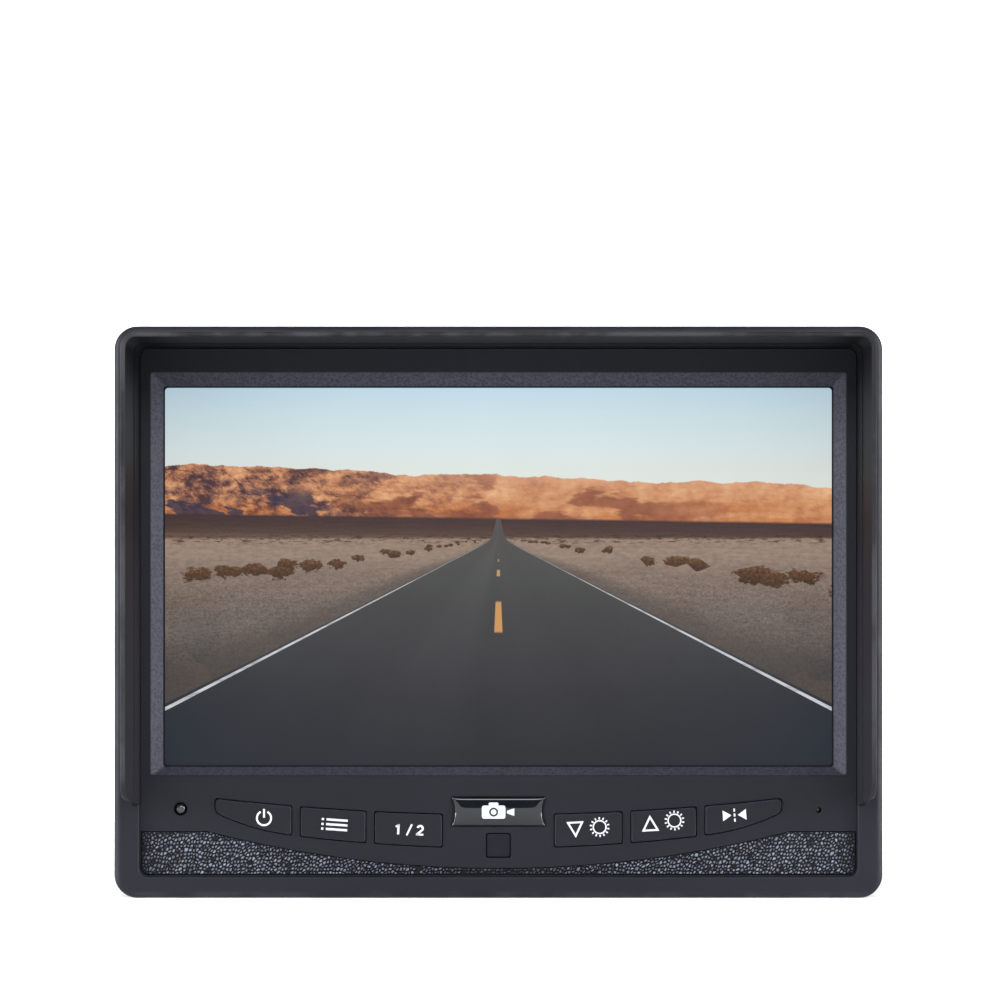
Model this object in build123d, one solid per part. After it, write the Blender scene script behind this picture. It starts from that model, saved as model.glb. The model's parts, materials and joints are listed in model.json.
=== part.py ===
from build123d import *
import math
import os

# Seven-inch rear-view monitor for a reversing-camera kit, with a sun hood that plugs into its front rim.
# Millimetres. X runs along the screen, Y from the viewer (-Y) to the back (+Y), Z up.
# The origin is the middle of the housing's depth, on the bottom face that the monitor stands on.
# Heights are counted from a line just above that face, and every part is lifted by LIFT when it is written.

# ---- driving dimensions: housing ----
HOUSING_W = 176.7
HOUSING_H = 131.5
LIFT = 0.25
LOW_Z = -LIFT
TOP_Z = LOW_Z + HOUSING_H
MID_Z = (LOW_Z + TOP_Z) / 2
FRONT_Y = -13.5  # front of the rim
PARTING_Y = -1.5  # where front frame and rear cover meet
TAPER_Y = 5.0  # where the rear cover starts to slope in
REAR_Y = 13.5  # flat back
WALL = 2.0
CORNER_R = 5.3
RIM_ROUND = 1.5
INNER_RIM_ROUND = 0.6

# ---- recessed front panel ----
PANEL_W = 165.0
PANEL_LOW = 4.8
PANEL_TOP = 126.2
PANEL_R = 2.0
PANEL_Y = FRONT_Y + 1.5
PLATE_T = 2.0  # panel thickness over the keys
SCREEN_PLATE_Y = -8.3  # back of the thicker panel around the screen

# ---- screen ----
SCREEN_W = 154.1
SCREEN_LOW = 30.1
SCREEN_TOP = 117.3
WINDOW_GAP = 0.3  # black edge between the picture and the opening
BEVEL_Y = -9.0  # where the sloped sides of the opening end
BEVEL_OUT_W = 160.2
BEVEL_OUT_LOW = 27.8
BEVEL_OUT_TOP = 120.8
LCD_W = 165.0
LCD_LOW = 22.5
LCD_TOP = 122.5
LCD_FRONT_Y = -7.9
LCD_REAR_Y = -2.2

# ---- sun hood ----
HOOD_IN_W = 165.0
HOOD_T = 1.6
HOOD_ROOT_Y = -9.9
HOOD_STEP_Y = -25.0
HOOD_LIP_Y = -44.0
HOOD_LIP_T = 1.1
HOOD_DRAFT = 0.43  # how far the inside opens out from root to lip
HOOD_STEP = 0.2
HOOD_LOW = 21.2
HOOD_LIP_LOW = 24.4
GROOVE_Y = -9.7
GROOVE_GAP = 0.15

# ---- key row: a crescent between two arcs, cut into six keys ----
KEY_TOP_Z = 18.76
KEY_TOP_R = 565.0
KEY_LOW_Z = 11.31
KEY_LOW_R = 388.0
KEY_SPANS = {"input": (13.0, 28.35), "menu": (30.6, 45.45), "power": (47.65, 65.1)}
KEY_GAP = 0.25
KEY_PROUD = 0.5
KEY_CORNER_R = 0.5
TIP_X, TIP_Z, TIP_R = 41.2, 67.9, 54.0  # the circle that each outermost key's lower edge follows
TIP_LOW_R = 2.2
TIP_TOP_R = 0.8
SWITCH_X = {"input": 20.6, "menu": 38.0, "power": 54.5}
KEYS = {  # name: (which span, side)
    "key_power": ("power", -1),
    "key_menu": ("menu", -1),
    "key_input": ("input", -1),
    "key_dimmer": ("input", 1),
    "key_brighter": ("menu", 1),
    "key_mirror": ("power", 1),
}

# ---- small parts on the front ----
GRAIN_TOP = 15.1
GRAIN_DIP_Z = 6.6
GRAIN_R = 269.0
GRAIN_DEPTH = 0.5
LED_X, LED_Z, LED_R, LED_GAP = -73.1, 20.2, 1.1, 0.35
SENSOR_X, SENSOR_Z, SENSOR_HOLE_R = 73.7, 19.9, 0.65
IR_Z, IR_SIZE, IR_GAP, IR_RECESS = 11.8, 5.75, 0.2, 0.35
BADGE_W, BADGE_H, BADGE_Z = 22.3, 6.7, 19.6

# ---- boards ----
KEY_BOARD_Y = -3.6
BOARD_T = 1.6
SWITCH_SIZE = 5.2
SWITCH_FRONT_Y = -7.1
PLUNGER_R = 1.6
PLUNGER_Y = -8.4
MAIN_BOARD_Y = 3.0
MAIN_BOARD_REAR_Y = MAIN_BOARD_Y + BOARD_T
MAIN_BOARD_X = (-36.0, 76.0)
MAIN_BOARD_Z = (24.5, 112.0)
CHASSIS_Y = (-1.9, -0.9)

# ---- fastening points, as (x, z) ----
COVER_SCREWS = [(x, z) for x in (-80.0, 0.0, 80.0) for z in (4.9, 125.9)]
CHASSIS_SCREWS = [(-60.0, 125.9), (60.0, 125.9), (-79.5, 17.0), (79.5, 17.0)]
KEY_BOARD_SCREWS = [(-69.5, 11.0), (-8.0, 11.0), (8.0, 11.0), (69.5, 11.0)]
MAIN_BOARD_SCREWS = [(x, z) for x in (-32.0, 72.0) for z in (28.5, 108.0)]
BOSS_R = 2.7
PILOT_R = 1.25
SHANK_R = 1.2
HEAD_R = 2.5

# ---- back ----
PAD_W, PAD_H, PAD_Y = 50.0, 42.0, REAR_Y + 1.0
MOUNT_X, MOUNT_Z = 38.0, 30.0  # the AMPS rectangle
MOUNT_HOLE_R = 1.65
INSERT_R = 2.8
INSERT_L = 7.0
SPEAKER_X, SPEAKER_Z, SPEAKER_R = -56.0, 66.0, 16.0
INLET_X, INLET_Z = 50.0, 36.0
INLET_R = 6.6
RIB_GAP, RIB_T, RIB_Z = 0.2, 1.0, (25.0, 105.0)  # ribs that locate the cover in the front frame
SPEAKER_CLAMP_Y = 9.3  # where the speaker's screws hold its rim
SPEAKER_SCREWS = [(SPEAKER_X, SPEAKER_Z + s * (SPEAKER_R + 1.7)) for s in (-1, 1)]


# ---------------------------------------------------------------- helpers
def at(x, z):
    """The place (x, z) in a sketch that faces the viewer."""
    return Pos(x, z)


def slab(sketch, y_front, y_rear):
    """A sketch drawn in X and Z, made solid from y_front back to y_rear."""
    plane = Plane(origin=(0, y_rear, 0), x_dir=(1, 0, 0), z_dir=(0, -1, 0))
    return extrude(plane * sketch, amount=y_rear - y_front)


def side_slab(sketch, x_low, x_high):
    """A sketch drawn in Y and Z, made solid from x_low to x_high."""
    plane = Plane(origin=(x_low, 0, 0), x_dir=(0, 1, 0), z_dir=(1, 0, 0))
    return extrude(plane * sketch, amount=x_high - x_low)


def rod(x, z, radius, y_front, y_rear):
    return slab(at(x, z) * Circle(radius), y_front, y_rear)


def block(x_low, x_high, y_low, y_high, z_low, z_high):
    centre = ((x_low + x_high) / 2, (y_low + y_high) / 2, (z_low + z_high) / 2)
    return Pos(*centre) * Box(x_high - x_low, y_high - y_low, z_high - z_low)


def frame_area(width, z_low, z_high, radius):
    """A rounded rectangle in X and Z, centred on X = 0."""
    height = z_high - z_low
    return at(0, (z_low + z_high) / 2) * RectangleRounded(width, height, radius)


def rectangle(x_low, x_high, z_low, z_high):
    return at((x_low + x_high) / 2, (z_low + z_high) / 2) * Rectangle(x_high - x_low, z_high - z_low)


def outline(inset=0.0):
    return frame_area(HOUSING_W - 2 * inset, LOW_Z + inset, TOP_Z - inset, CORNER_R - inset * 0.8)


def union(shapes):
    whole = shapes[0]
    for shape in shapes[1:]:
        whole = whole + shape
    return whole


def screw(length, head_r, head_h, shank_r):
    """A pan-head cross-recess screw: the head's underside is at Y = 0 and the shank runs towards -Y."""
    head = rod(0, 0, head_r, 0, head_h)
    head = fillet(head.edges().group_by(Axis.Y)[-1], head_h * 0.4)
    arm, deep = head_r * 0.6, head_h * 0.45
    head -= block(-arm, arm, deep, head_h, -0.3, 0.3)
    head -= block(-0.3, 0.3, deep, head_h, -arm, arm)
    shank = rod(0, 0, shank_r, -length, 0)
    return head + chamfer(shank.edges().group_by(Axis.Y)[0], shank_r * 0.5)


def screws(places, y_head, y_tip, head_r=HEAD_R, head_h=1.8, shank_r=SHANK_R):
    """The same screw at each place, with its head's underside at y_head and its tip at y_tip."""
    turn = Rot(0, 0, 180) if y_tip > y_head else Rot(0, 0, 0)
    one = screw(abs(y_head - y_tip), head_r, head_h, shank_r)
    return Compound(children=[Pos(x, y_head, z) * turn * one for x, z in places])


# ---------------------------------------------------------------- key row
def key_band(grow):
    """The crescent that holds all the keys, grown outwards by grow."""
    below = at(0, KEY_LOW_Z + KEY_LOW_R) * Circle(KEY_LOW_R + grow)
    above = at(0, KEY_TOP_Z + KEY_TOP_R) * Circle(KEY_TOP_R - grow)
    return below - above


def key_area(span, side, grow=0.0):
    """One key's outline: a piece of the crescent, with the outer end of the outermost key rounded."""
    near, far = KEY_SPANS[span]
    low, high = sorted((side * (near - grow), side * (far + grow)))
    area = key_band(grow) & rectangle(low, high, 0, 40)
    if span == "power":
        area &= at(side * TIP_X, TIP_Z) * Circle(TIP_R + grow)
        area = fillet(area.vertices().sort_by(lambda v: side * v.X)[:2], KEY_CORNER_R)
        area = fillet(area.vertices().sort_by(lambda v: side * v.X * 2 - v.Y)[-1], TIP_LOW_R)
        return fillet(area.vertices().sort_by(lambda v: side * v.X * 2 + v.Y)[-1], TIP_TOP_R)
    return fillet(area.vertices(), KEY_CORNER_R)


def switch_place(span, side):
    """Where a key's switch sits: on the crescent's middle line."""
    x = SWITCH_X[span]
    top = KEY_TOP_Z + x * x / (2 * KEY_TOP_R)
    low = KEY_LOW_Z + x * x / (2 * KEY_LOW_R)
    return side * x, (top + low) / 2


def key_cap(span, side):
    """A key with its retaining flange behind the panel and the post that pushes its switch."""
    cap = slab(key_area(span, side), PANEL_Y - KEY_PROUD, PANEL_Y + PLATE_T + 0.2)
    cap = fillet(cap.edges().group_by(Axis.Y)[0], 0.3)
    flange_y = PANEL_Y + PLATE_T + 0.1
    flange = slab(key_area(span, side, 0.75), flange_y, flange_y + 0.8)
    x, z = switch_place(span, side)
    post = rod(x, z, 1.5, flange_y + 0.8, PLUNGER_Y - 0.05)
    return cap + flange + post


def switch_plunger(span, side):
    x, z = switch_place(span, side)
    return rod(x, z, PLUNGER_R, PLUNGER_Y, SWITCH_FRONT_Y + 1.1)


def tact_switches():
    """The six fixed switch bodies, each with a well for its plunger."""
    made = []
    for span, side in KEYS.values():
        x, z = switch_place(span, side)
        half = SWITCH_SIZE / 2
        body = block(x - half, x + half, SWITCH_FRONT_Y, KEY_BOARD_Y, z - half, z + half)
        body = chamfer(body.edges().filter_by(Axis.Y), 0.5)
        made.append(body - rod(x, z, PLUNGER_R + 0.1, SWITCH_FRONT_Y, SWITCH_FRONT_Y + 1.8))
    return Compound(children=made)


# ---------------------------------------------------------------- front frame
def hood_u(outer_in, inner_in, z_floor):
    """The U between two rounded rectangles that are open below, kept above z_floor."""
    outer = frame_area(2 * outer_in[0], -30, outer_in[1], outer_in[2])
    inner = frame_area(2 * inner_in[0], -30, inner_in[1], inner_in[2])
    return (outer - inner) & rectangle(-100, 100, z_floor, 140)


def hood_prong_places():
    """Four prongs as (x_low, x_high, z_low, z_high): two above the screen, one at each side."""
    top_z = PANEL_TOP + 0.3
    side_x = HOOD_IN_W / 2 + 0.4
    prongs = [(x - 4, x + 4, top_z, top_z + 1.2) for x in (-42.0, 42.0)]
    prongs += [(s * side_x, s * (side_x + 1.2), 71.0, 79.0) for s in (-1, 1)]
    return [(min(a, b), max(a, b), c, d) for a, b, c, d in prongs]


def badge_area(grow=0.0):
    """A low oblong with hollowed ends."""
    half_w, half_h, hollow = BADGE_W / 2 + grow, BADGE_H / 2 + grow, 0.8
    ends = []
    for s in (-1, 1):
        low, middle, high = (s * half_w, -half_h), (s * (half_w - hollow), 0.4), (s * half_w, half_h)
        ends.append(ThreePointArc(low, middle, high))
    above = Line((-half_w, half_h), (half_w, half_h))
    below = Line((half_w, -half_h), (-half_w, -half_h))
    area = make_face(Wire([ends[0], above, ends[1], below]))
    area = fillet(area.vertices(), 0.5)
    return at(0, BADGE_Z) * area


def grain_area():
    """The grained field low on the panel: level at both ends, dipping in one arc between them."""
    field = frame_area(PANEL_W, PANEL_LOW, PANEL_LOW + 40, PANEL_R) & rectangle(-90, 90, 0, GRAIN_TOP)
    return field - at(0, GRAIN_DIP_Z + GRAIN_R) * Circle(GRAIN_R)


def front_frame():
    """The front moulding: rim, recessed panel, screen opening, hood groove and bosses."""
    body = slab(outline(), FRONT_Y, PARTING_Y)
    body = fillet(body.edges().group_by(Axis.Y)[0], RIM_ROUND)
    recess = slab(frame_area(PANEL_W, PANEL_LOW, PANEL_TOP, PANEL_R), FRONT_Y - 1, PANEL_Y)
    body -= recess
    inner_rim = [e for e in body.edges().group_by(Axis.Y)[0] if abs(e.center().X) < PANEL_W / 2 + 0.1]
    inner_rim = [e for e in inner_rim if PANEL_LOW - 0.1 < e.center().Z < PANEL_TOP + 0.1]
    body = fillet(inner_rim, INNER_RIM_ROUND)

    # screen opening with sloped sides
    half_open = SCREEN_W / 2 + WINDOW_GAP
    mouth = frame_area(BEVEL_OUT_W, BEVEL_OUT_LOW, BEVEL_OUT_TOP, 0.8)
    throat = frame_area(2 * half_open, SCREEN_LOW - WINDOW_GAP, SCREEN_TOP + WINDOW_GAP, 0.5)
    planes = [Plane(origin=(0, y, 0), x_dir=(1, 0, 0), z_dir=(0, -1, 0)) for y in (PANEL_Y, BEVEL_Y)]
    body -= loft([planes[0] * mouth, planes[1] * throat])
    body -= slab(throat, BEVEL_Y - 0.01, PARTING_Y)

    # inside: a wide pocket behind the whole panel, and a thinner panel over the keys
    body -= slab(outline(WALL), SCREEN_PLATE_Y, PARTING_Y)
    body -= slab(rectangle(-81, 81, 6.2, 26.0), PANEL_Y + PLATE_T, SCREEN_PLATE_Y)

    # hood groove, with through slots for the hood's prongs
    half, wide = HOOD_IN_W / 2, HOOD_T + GROOVE_GAP
    outer_in = (half + wide, PANEL_TOP + wide, PANEL_R + wide)
    inner_in = (half - GROOVE_GAP, PANEL_TOP - GROOVE_GAP, PANEL_R)
    body -= slab(hood_u(outer_in, inner_in, HOOD_LOW - 0.1), FRONT_Y, GROOVE_Y)
    slot_y = (GROOVE_Y - 0.01, SCREEN_PLATE_Y + 0.01)
    for x_low, x_high, z_low, z_high in hood_prong_places():
        body -= block(x_low - 0.3, x_high + 0.3, *slot_y, z_low - 0.25, z_high + 0.25)

    # openings and pockets in the panel
    for span, side in KEYS.values():
        body -= slab(key_area(span, side, KEY_GAP), PANEL_Y - 1, PANEL_Y + PLATE_T)
    body -= rod(LED_X, LED_Z, LED_R + LED_GAP, PANEL_Y - 1, PANEL_Y + PLATE_T)
    body -= rod(SENSOR_X, SENSOR_Z, SENSOR_HOLE_R, PANEL_Y - 1, PANEL_Y + PLATE_T)
    body -= slab(at(0, IR_Z) * RectangleRounded(IR_SIZE, IR_SIZE, 0.5), PANEL_Y - 1, PANEL_Y + PLATE_T)
    body -= slab(badge_area(0.15), PANEL_Y - 1, PANEL_Y + 0.3)
    body -= slab(grain_area(), PANEL_Y, PANEL_Y + GRAIN_DEPTH)

    # bosses
    for x, z in COVER_SCREWS:
        body += rod(x, z, BOSS_R, SCREEN_PLATE_Y - 0.1, PARTING_Y)
        body -= rod(x, z, PILOT_R, SCREEN_PLATE_Y + 0.6, PARTING_Y)
    for x, z in CHASSIS_SCREWS:
        start = SCREEN_PLATE_Y - 0.1 if z > 100 else PANEL_Y + PLATE_T - 0.1
        body += rod(x, z, BOSS_R, start, CHASSIS_Y[0])
        body -= rod(x, z, PILOT_R, SCREEN_PLATE_Y + 0.6, CHASSIS_Y[0])
    for x, z in KEY_BOARD_SCREWS:
        body += rod(x, z, 2.3, PANEL_Y + PLATE_T - 0.1, KEY_BOARD_Y)
        body -= rod(x, z, 0.95, -9.0, KEY_BOARD_Y)
    return body


# ---------------------------------------------------------------- sun hood
def hood_form(outset, grow, y_root, y_lip):
    """The space inside the hood's root, set out by outset and opening out by grow from y_root to y_lip."""
    faces = []
    for y, extra in ((y_root, outset), (y_lip, outset + grow)):
        plane = Plane(origin=(0, y, 0), x_dir=(1, 0, 0), z_dir=(0, -1, 0))
        faces.append(plane * frame_area(HOOD_IN_W + 2 * extra, -30, PANEL_TOP + extra, PANEL_R + extra))
    return loft(faces)


def sun_hood():
    """Three thin walls that stand forward of the rim, with prongs that plug into the groove's floor."""
    lip_out = HOOD_DRAFT + HOOD_LIP_T - HOOD_T
    outer = hood_form(HOOD_T, lip_out, HOOD_ROOT_Y, HOOD_LIP_Y)
    root = hood_form(0.0, 0.0, HOOD_ROOT_Y, HOOD_STEP_Y)
    front = hood_form(HOOD_STEP, HOOD_DRAFT - HOOD_STEP, HOOD_STEP_Y, HOOD_LIP_Y)
    walls = outer - root - front
    side = Polyline(
        (HOOD_ROOT_Y, HOOD_LOW), (FRONT_Y - 0.5, HOOD_LOW), (HOOD_LIP_Y, HOOD_LIP_LOW),
        (HOOD_LIP_Y, 140), (HOOD_ROOT_Y, 140), close=True,
    )
    side = make_face(side)
    corner = side.vertices().sort_by(lambda v: v.X + v.Y * 0.01)[0]
    side = fillet(corner, 6.5)
    walls &= side_slab(side, -100, 100)
    lip = [e for e in walls.edges() if abs(e.center().Y - HOOD_LIP_Y) < 0.01]
    walls = fillet(lip, 0.45)
    for x_low, x_high, z_low, z_high in hood_prong_places():
        walls += block(x_low, x_high, HOOD_ROOT_Y - 0.1, -7.0, z_low, z_high)
    return walls


# ---------------------------------------------------------------- small front parts
def badge():
    plate = slab(badge_area(), PANEL_Y - 0.85, PANEL_Y + 0.3)
    return fillet(plate.edges().group_by(Axis.Y)[0], 0.4)


def ir_window():
    size = IR_SIZE - 2 * IR_GAP
    pane = slab(at(0, IR_Z) * RectangleRounded(size, size, 0.4), PANEL_Y + IR_RECESS, PANEL_Y + PLATE_T)
    pane = fillet(pane.edges().group_by(Axis.Y)[0], 0.15)
    flange_y = PANEL_Y + PLATE_T
    return pane + slab(rectangle(-4.2, 4.2, IR_Z - 4, IR_Z + 4), flange_y, flange_y + 0.8)


def led_lens():
    """A light pipe with a domed front, a flange behind the panel and a tail down to its lamp."""
    pipe = rod(LED_X, LED_Z, LED_R, PANEL_Y - 0.3, PANEL_Y + PLATE_T)
    pipe = fillet(pipe.edges().group_by(Axis.Y)[0], 0.7)
    flange_y = PANEL_Y + PLATE_T
    return pipe + rod(LED_X, LED_Z, 2.0, flange_y, flange_y + 0.6) + rod(LED_X, LED_Z, LED_R, flange_y, -5.2)


def power_lamp():
    return block(LED_X - 1.0, LED_X + 1.0, -5.1, KEY_BOARD_Y, LED_Z - 0.6, LED_Z + 0.6)


def light_sensor():
    """A domed light cell that looks out through a small hole."""
    cell = rod(SENSOR_X, SENSOR_Z, 1.5, PANEL_Y + PLATE_T + 0.5, KEY_BOARD_Y)
    return fillet(cell.edges().group_by(Axis.Y)[0], 1.2)


def ir_receiver():
    body = block(-2.5, 2.5, -7.8, KEY_BOARD_Y, IR_Z - 2.5, IR_Z + 2.5)
    return fillet(body.edges().group_by(Axis.Y)[0], 0.5)


# ---------------------------------------------------------------- screen module
def screen_gasket():
    ring = frame_area(162.0, 25.5, 121.5, 1.0) - frame_area(156.0, 29.2, 118.3, 1.0)
    return slab(ring, SCREEN_PLATE_Y + 0.02, LCD_FRONT_Y)


def lcd_frame():
    """Folded steel bezel: a thin flange round the picture and sides that run back."""
    front = frame_area(LCD_W, LCD_LOW, LCD_TOP, 0.8)
    opening = frame_area(156.4, SCREEN_LOW - 0.9, SCREEN_TOP + 0.9, 0.5)
    inside = frame_area(LCD_W - 0.8, LCD_LOW + 0.4, LCD_TOP - 0.4, 0.6)
    flange = slab(front - opening, LCD_FRONT_Y, LCD_FRONT_Y + 0.3)
    return flange + slab(front - inside, LCD_FRONT_Y + 0.2, LCD_REAR_Y)


def lcd_layer(width, z_low, z_high, y_front, y_rear):
    return slab(rectangle(-width / 2, width / 2, z_low, z_high), y_front, y_rear)


def polarizer():
    """The film that shows the picture, filling the opening in the steel bezel."""
    return lcd_layer(SCREEN_W + 2 * WINDOW_GAP, SCREEN_LOW - WINDOW_GAP, SCREEN_TOP + WINDOW_GAP, -7.8, -7.6)


def backlight_lamps():
    """A narrow board along the light guide's lower edge, with its row of lamps."""
    strip = block(-78, 78, -5.2, -3.0, 24.2, 25.0)
    lamps = [block(x - 1.5, x + 1.5, -4.9, -3.3, 25.0, 25.8) for x in range(-72, 73, 8)]
    return union([strip] + lamps)


def lcd_tray():
    """Steel back of the screen module, with low side walls."""
    floor = frame_area(163.8, 23.1, 121.9, 0.4)
    walls = floor - frame_area(163.0, 23.5, 121.5, 0.3)
    return slab(floor, -2.7, LCD_REAR_Y) + slab(walls, -4.5, -2.6)


def lcd_flex():
    """Flat cable from the back of the screen module, through the chassis plate, to the main board."""
    path = FilletPolyline((0, LCD_REAR_Y, 46), (0, 1.2, 46), (0, 1.2, 52), radius=1.0)
    plane = Plane(origin=(20, LCD_REAR_Y, 46), x_dir=(1, 0, 0), z_dir=(0, 1, 0))
    return sweep(plane * Rectangle(24, 0.3), path=Pos(20, 0, 0) * path)


def lcd_flex_socket():
    return block(7, 33, 0.3, MAIN_BOARD_Y, 52, 57)


def chassis_plate():
    """Steel plate that clamps the screen module and carries the main board."""
    plate = frame_area(166.0, 24.0, 121.6, 1.0)
    for x, z in CHASSIS_SCREWS:
        if z > 100:
            plate += rectangle(x - 4, x + 4, 120, 128.6)
        else:
            plate += rectangle(*sorted((x / abs(x) * 76.0, x / abs(x) * 83.0)), 13.5, 26)
    body = slab(plate, *CHASSIS_Y)
    body -= slab(rectangle(6, 34, 43.5, 48.5), *CHASSIS_Y)
    for x, z in CHASSIS_SCREWS:
        body -= rod(x, z, 1.6, *CHASSIS_Y)
    for x, z in MAIN_BOARD_SCREWS:
        body += rod(x, z, 2.5, CHASSIS_Y[1], MAIN_BOARD_Y) - rod(x, z, 1.25, CHASSIS_Y[1], MAIN_BOARD_Y)
    for row in range(4):
        rib_z = 34 + row * 22
        body += block(-76, -40, CHASSIS_Y[1], CHASSIS_Y[1] + 0.6, rib_z, rib_z + 3)
    return body


# ---------------------------------------------------------------- boards
def key_board():
    board = slab(rectangle(-75.5, 75.5, 8.2, 21.8), KEY_BOARD_Y, KEY_BOARD_Y + BOARD_T)
    for x, z in KEY_BOARD_SCREWS:
        board -= rod(x, z, 1.15, KEY_BOARD_Y, KEY_BOARD_Y + BOARD_T)
    return board


def key_board_header():
    return block(24, 38, KEY_BOARD_Y + BOARD_T, 2.0, 12.2, 17.8)


def key_ribbon():
    """Ribbon cable from the key board's header, back and up to the main board."""
    path = FilletPolyline((31, 2.0, 15), (31, 7.0, 15), (31, 7.0, 26.0), radius=3.0)
    plane = Plane(origin=(31, 2.0, 15), x_dir=(1, 0, 0), z_dir=(0, 1, 0))
    return sweep(plane * Rectangle(12.7, 0.9), path=path)


def main_board():
    board = slab(rectangle(*MAIN_BOARD_X, *MAIN_BOARD_Z), MAIN_BOARD_Y, MAIN_BOARD_REAR_Y)
    for x, z in MAIN_BOARD_SCREWS:
        board -= rod(x, z, 1.6, MAIN_BOARD_Y, MAIN_BOARD_REAR_Y)
    return board


def on_board(x, z, width, height, thick):
    """A component that lies on the back of the main board."""
    y_high = MAIN_BOARD_REAR_Y + thick
    return block(x - width / 2, x + width / 2, MAIN_BOARD_REAR_Y, y_high, z - height / 2, z + height / 2)


def main_board_chips():
    """Chips as (x, z, width, height, thickness)."""
    sizes = [
        (-4, 84, 14, 14, 1.4),
        (0, 46, 10, 10, 1.2),
        (62, 84, 8, 8, 1.2),
        (-24, 84, 5, 6, 1.2),
        (66, 60, 5, 6, 1.5),
        (-24, 46, 6, 9, 1.0),
    ]
    return Compound(children=[chamfer(on_board(*s).edges().filter_by(Axis.Y), 0.3) for s in sizes])


def board_connectors():
    """Sockets on the main board for the key ribbon and for the speaker."""
    ribbon = on_board(31, 28.5, 15, 5, 4.6)
    speaker = on_board(-32.5, 66, 5, 6, 4.0)
    return Compound(children=[ribbon, speaker])


def capacitors():
    made = []
    for x, z in ((62, 100), (50, 100), (38, 100), (66, 72), (30, 84)):
        can = rod(x, z, 3.15, MAIN_BOARD_REAR_Y, MAIN_BOARD_REAR_Y + 5.4)
        made.append(fillet(can.edges().group_by(Axis.Y)[-1], 0.4))
    return Compound(children=made)


def inductors():
    made = []
    for x, z in ((48, 84), (66, 46)):
        made.append(fillet(on_board(x, z, 7, 7, 4).edges().filter_by(Axis.Y), 1.2))
    return Compound(children=made)


def shield_can():
    """Pressed tin lid over the video decoder."""
    lid = on_board(0, 102, 30, 14, 3.0)
    lid = fillet(lid.edges().group_by(Axis.Y)[-1], 0.5)
    return lid - block(-14.6, 14.6, MAIN_BOARD_REAR_Y, MAIN_BOARD_REAR_Y + 2.6, 95.4, 108.6)


# ---------------------------------------------------------------- speaker
def turned(points):
    """A ring turned about the speaker's axis; points are (radius, y)."""
    face = make_face(Polyline(*[(r, y) for r, y in points], close=True))
    plane = Plane(origin=(SPEAKER_X, 0, SPEAKER_Z), x_dir=(1, 0, 0), z_dir=(0, 0, 1))
    axis = Axis((SPEAKER_X, 0, SPEAKER_Z), (0, 1, 0))
    return revolve(plane * face, axis=axis, revolution_arc=360)


def speaker_basket():
    """Pressed basket: a flat rim, a sloped wall and a floor with a hole for the voice coil."""
    rim = [(14.0, 10.4), (14.0, 11.1), (SPEAKER_R, 11.1), (SPEAKER_R, 9.6)]
    outside = [(14.2, 9.4), (9.0, 4.4), (6.0, 4.4)]
    inside = [(6.0, 5.0), (8.6, 5.0), (13.2, 10.2)]
    return turned(rim + outside + inside)


def speaker_cone():
    """Thin cone with its short neck, glued inside the basket's rim."""
    back = [(13.8, 11.0), (13.8, 10.6), (12.9, 10.4), (4.0, 6.6), (4.0, 5.2)]
    front = [(3.6, 5.2), (3.6, 7.0), (12.6, 11.0)]
    return turned(back + front)


def speaker_cap():
    """The dust cap that closes the middle of the cone."""
    cap = rod(SPEAKER_X, SPEAKER_Z, 3.5, 5.8, 7.6)
    return fillet(cap.edges().group_by(Axis.Y)[-1], 1.2)


def speaker_magnet():
    magnet = rod(SPEAKER_X, SPEAKER_Z, 8.0, 0.4, 4.3)
    return chamfer(magnet.edges(), 0.4)


def speaker_gasket():
    """Foam ring between the speaker's rim and the cover."""
    ring = at(SPEAKER_X, SPEAKER_Z) * (Circle(SPEAKER_R) - Circle(14.0))
    return slab(ring, 11.12, 11.48)


def speaker_leads():
    """Two wires from the speaker's rim to its socket on the main board."""
    made = []
    for z in (64.9, 67.1):
        start = (-42.2, 7.4, z)
        path = FilletPolyline(start, (-39.6, 7.4, z), (-37.6, 6.6, z), (-35.0, 6.6, z), radius=1.2)
        plane = Plane(origin=start, z_dir=(1, 0, 0))
        made.append(sweep(plane * Circle(0.6), path=path))
    return Compound(children=made)


# ---------------------------------------------------------------- rear cover
def cover_form(inset):
    """The cover's block: straight sides, then a slope at 45 degrees to the flat back, all set in by inset."""
    slope_y = TAPER_Y - 0.414 * inset
    back_y = REAR_Y - inset
    shrink = back_y - slope_y
    straight = slab(outline(inset), PARTING_Y, slope_y)
    width, low, high = HOUSING_W - 2 * inset, LOW_Z + inset, TOP_Z - inset
    radius = CORNER_R - inset * 0.8
    planes = [Plane(origin=(0, y, 0), x_dir=(1, 0, 0), z_dir=(0, -1, 0)) for y in (slope_y, back_y)]
    wide = planes[0] * frame_area(width, low, high, radius)
    narrow = planes[1] * frame_area(width - 2 * shrink, low + shrink, high - shrink, radius)
    return straight + loft([narrow, wide])


def grille_holes():
    """Speaker holes in rings."""
    holes = [at(SPEAKER_X, SPEAKER_Z) * Circle(0.9)]
    for ring in (1, 2, 3):
        for step in range(6 * ring):
            angle = 2 * math.pi * step / (6 * ring)
            x, z = 3.6 * ring * math.cos(angle), 3.6 * ring * math.sin(angle)
            holes.append(at(SPEAKER_X + x, SPEAKER_Z + z) * Circle(0.9))
    return holes


def vent_slots():
    slots = []
    for i in range(15):
        slots.append(at((i - 7) * 4.4, 104) * Rot(0, 0, 90) * SlotOverall(12, 1.8))
        slots.append(at((i - 7) * 4.4, 27) * Rot(0, 0, 90) * SlotOverall(12, 1.8))
    return slots


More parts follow.
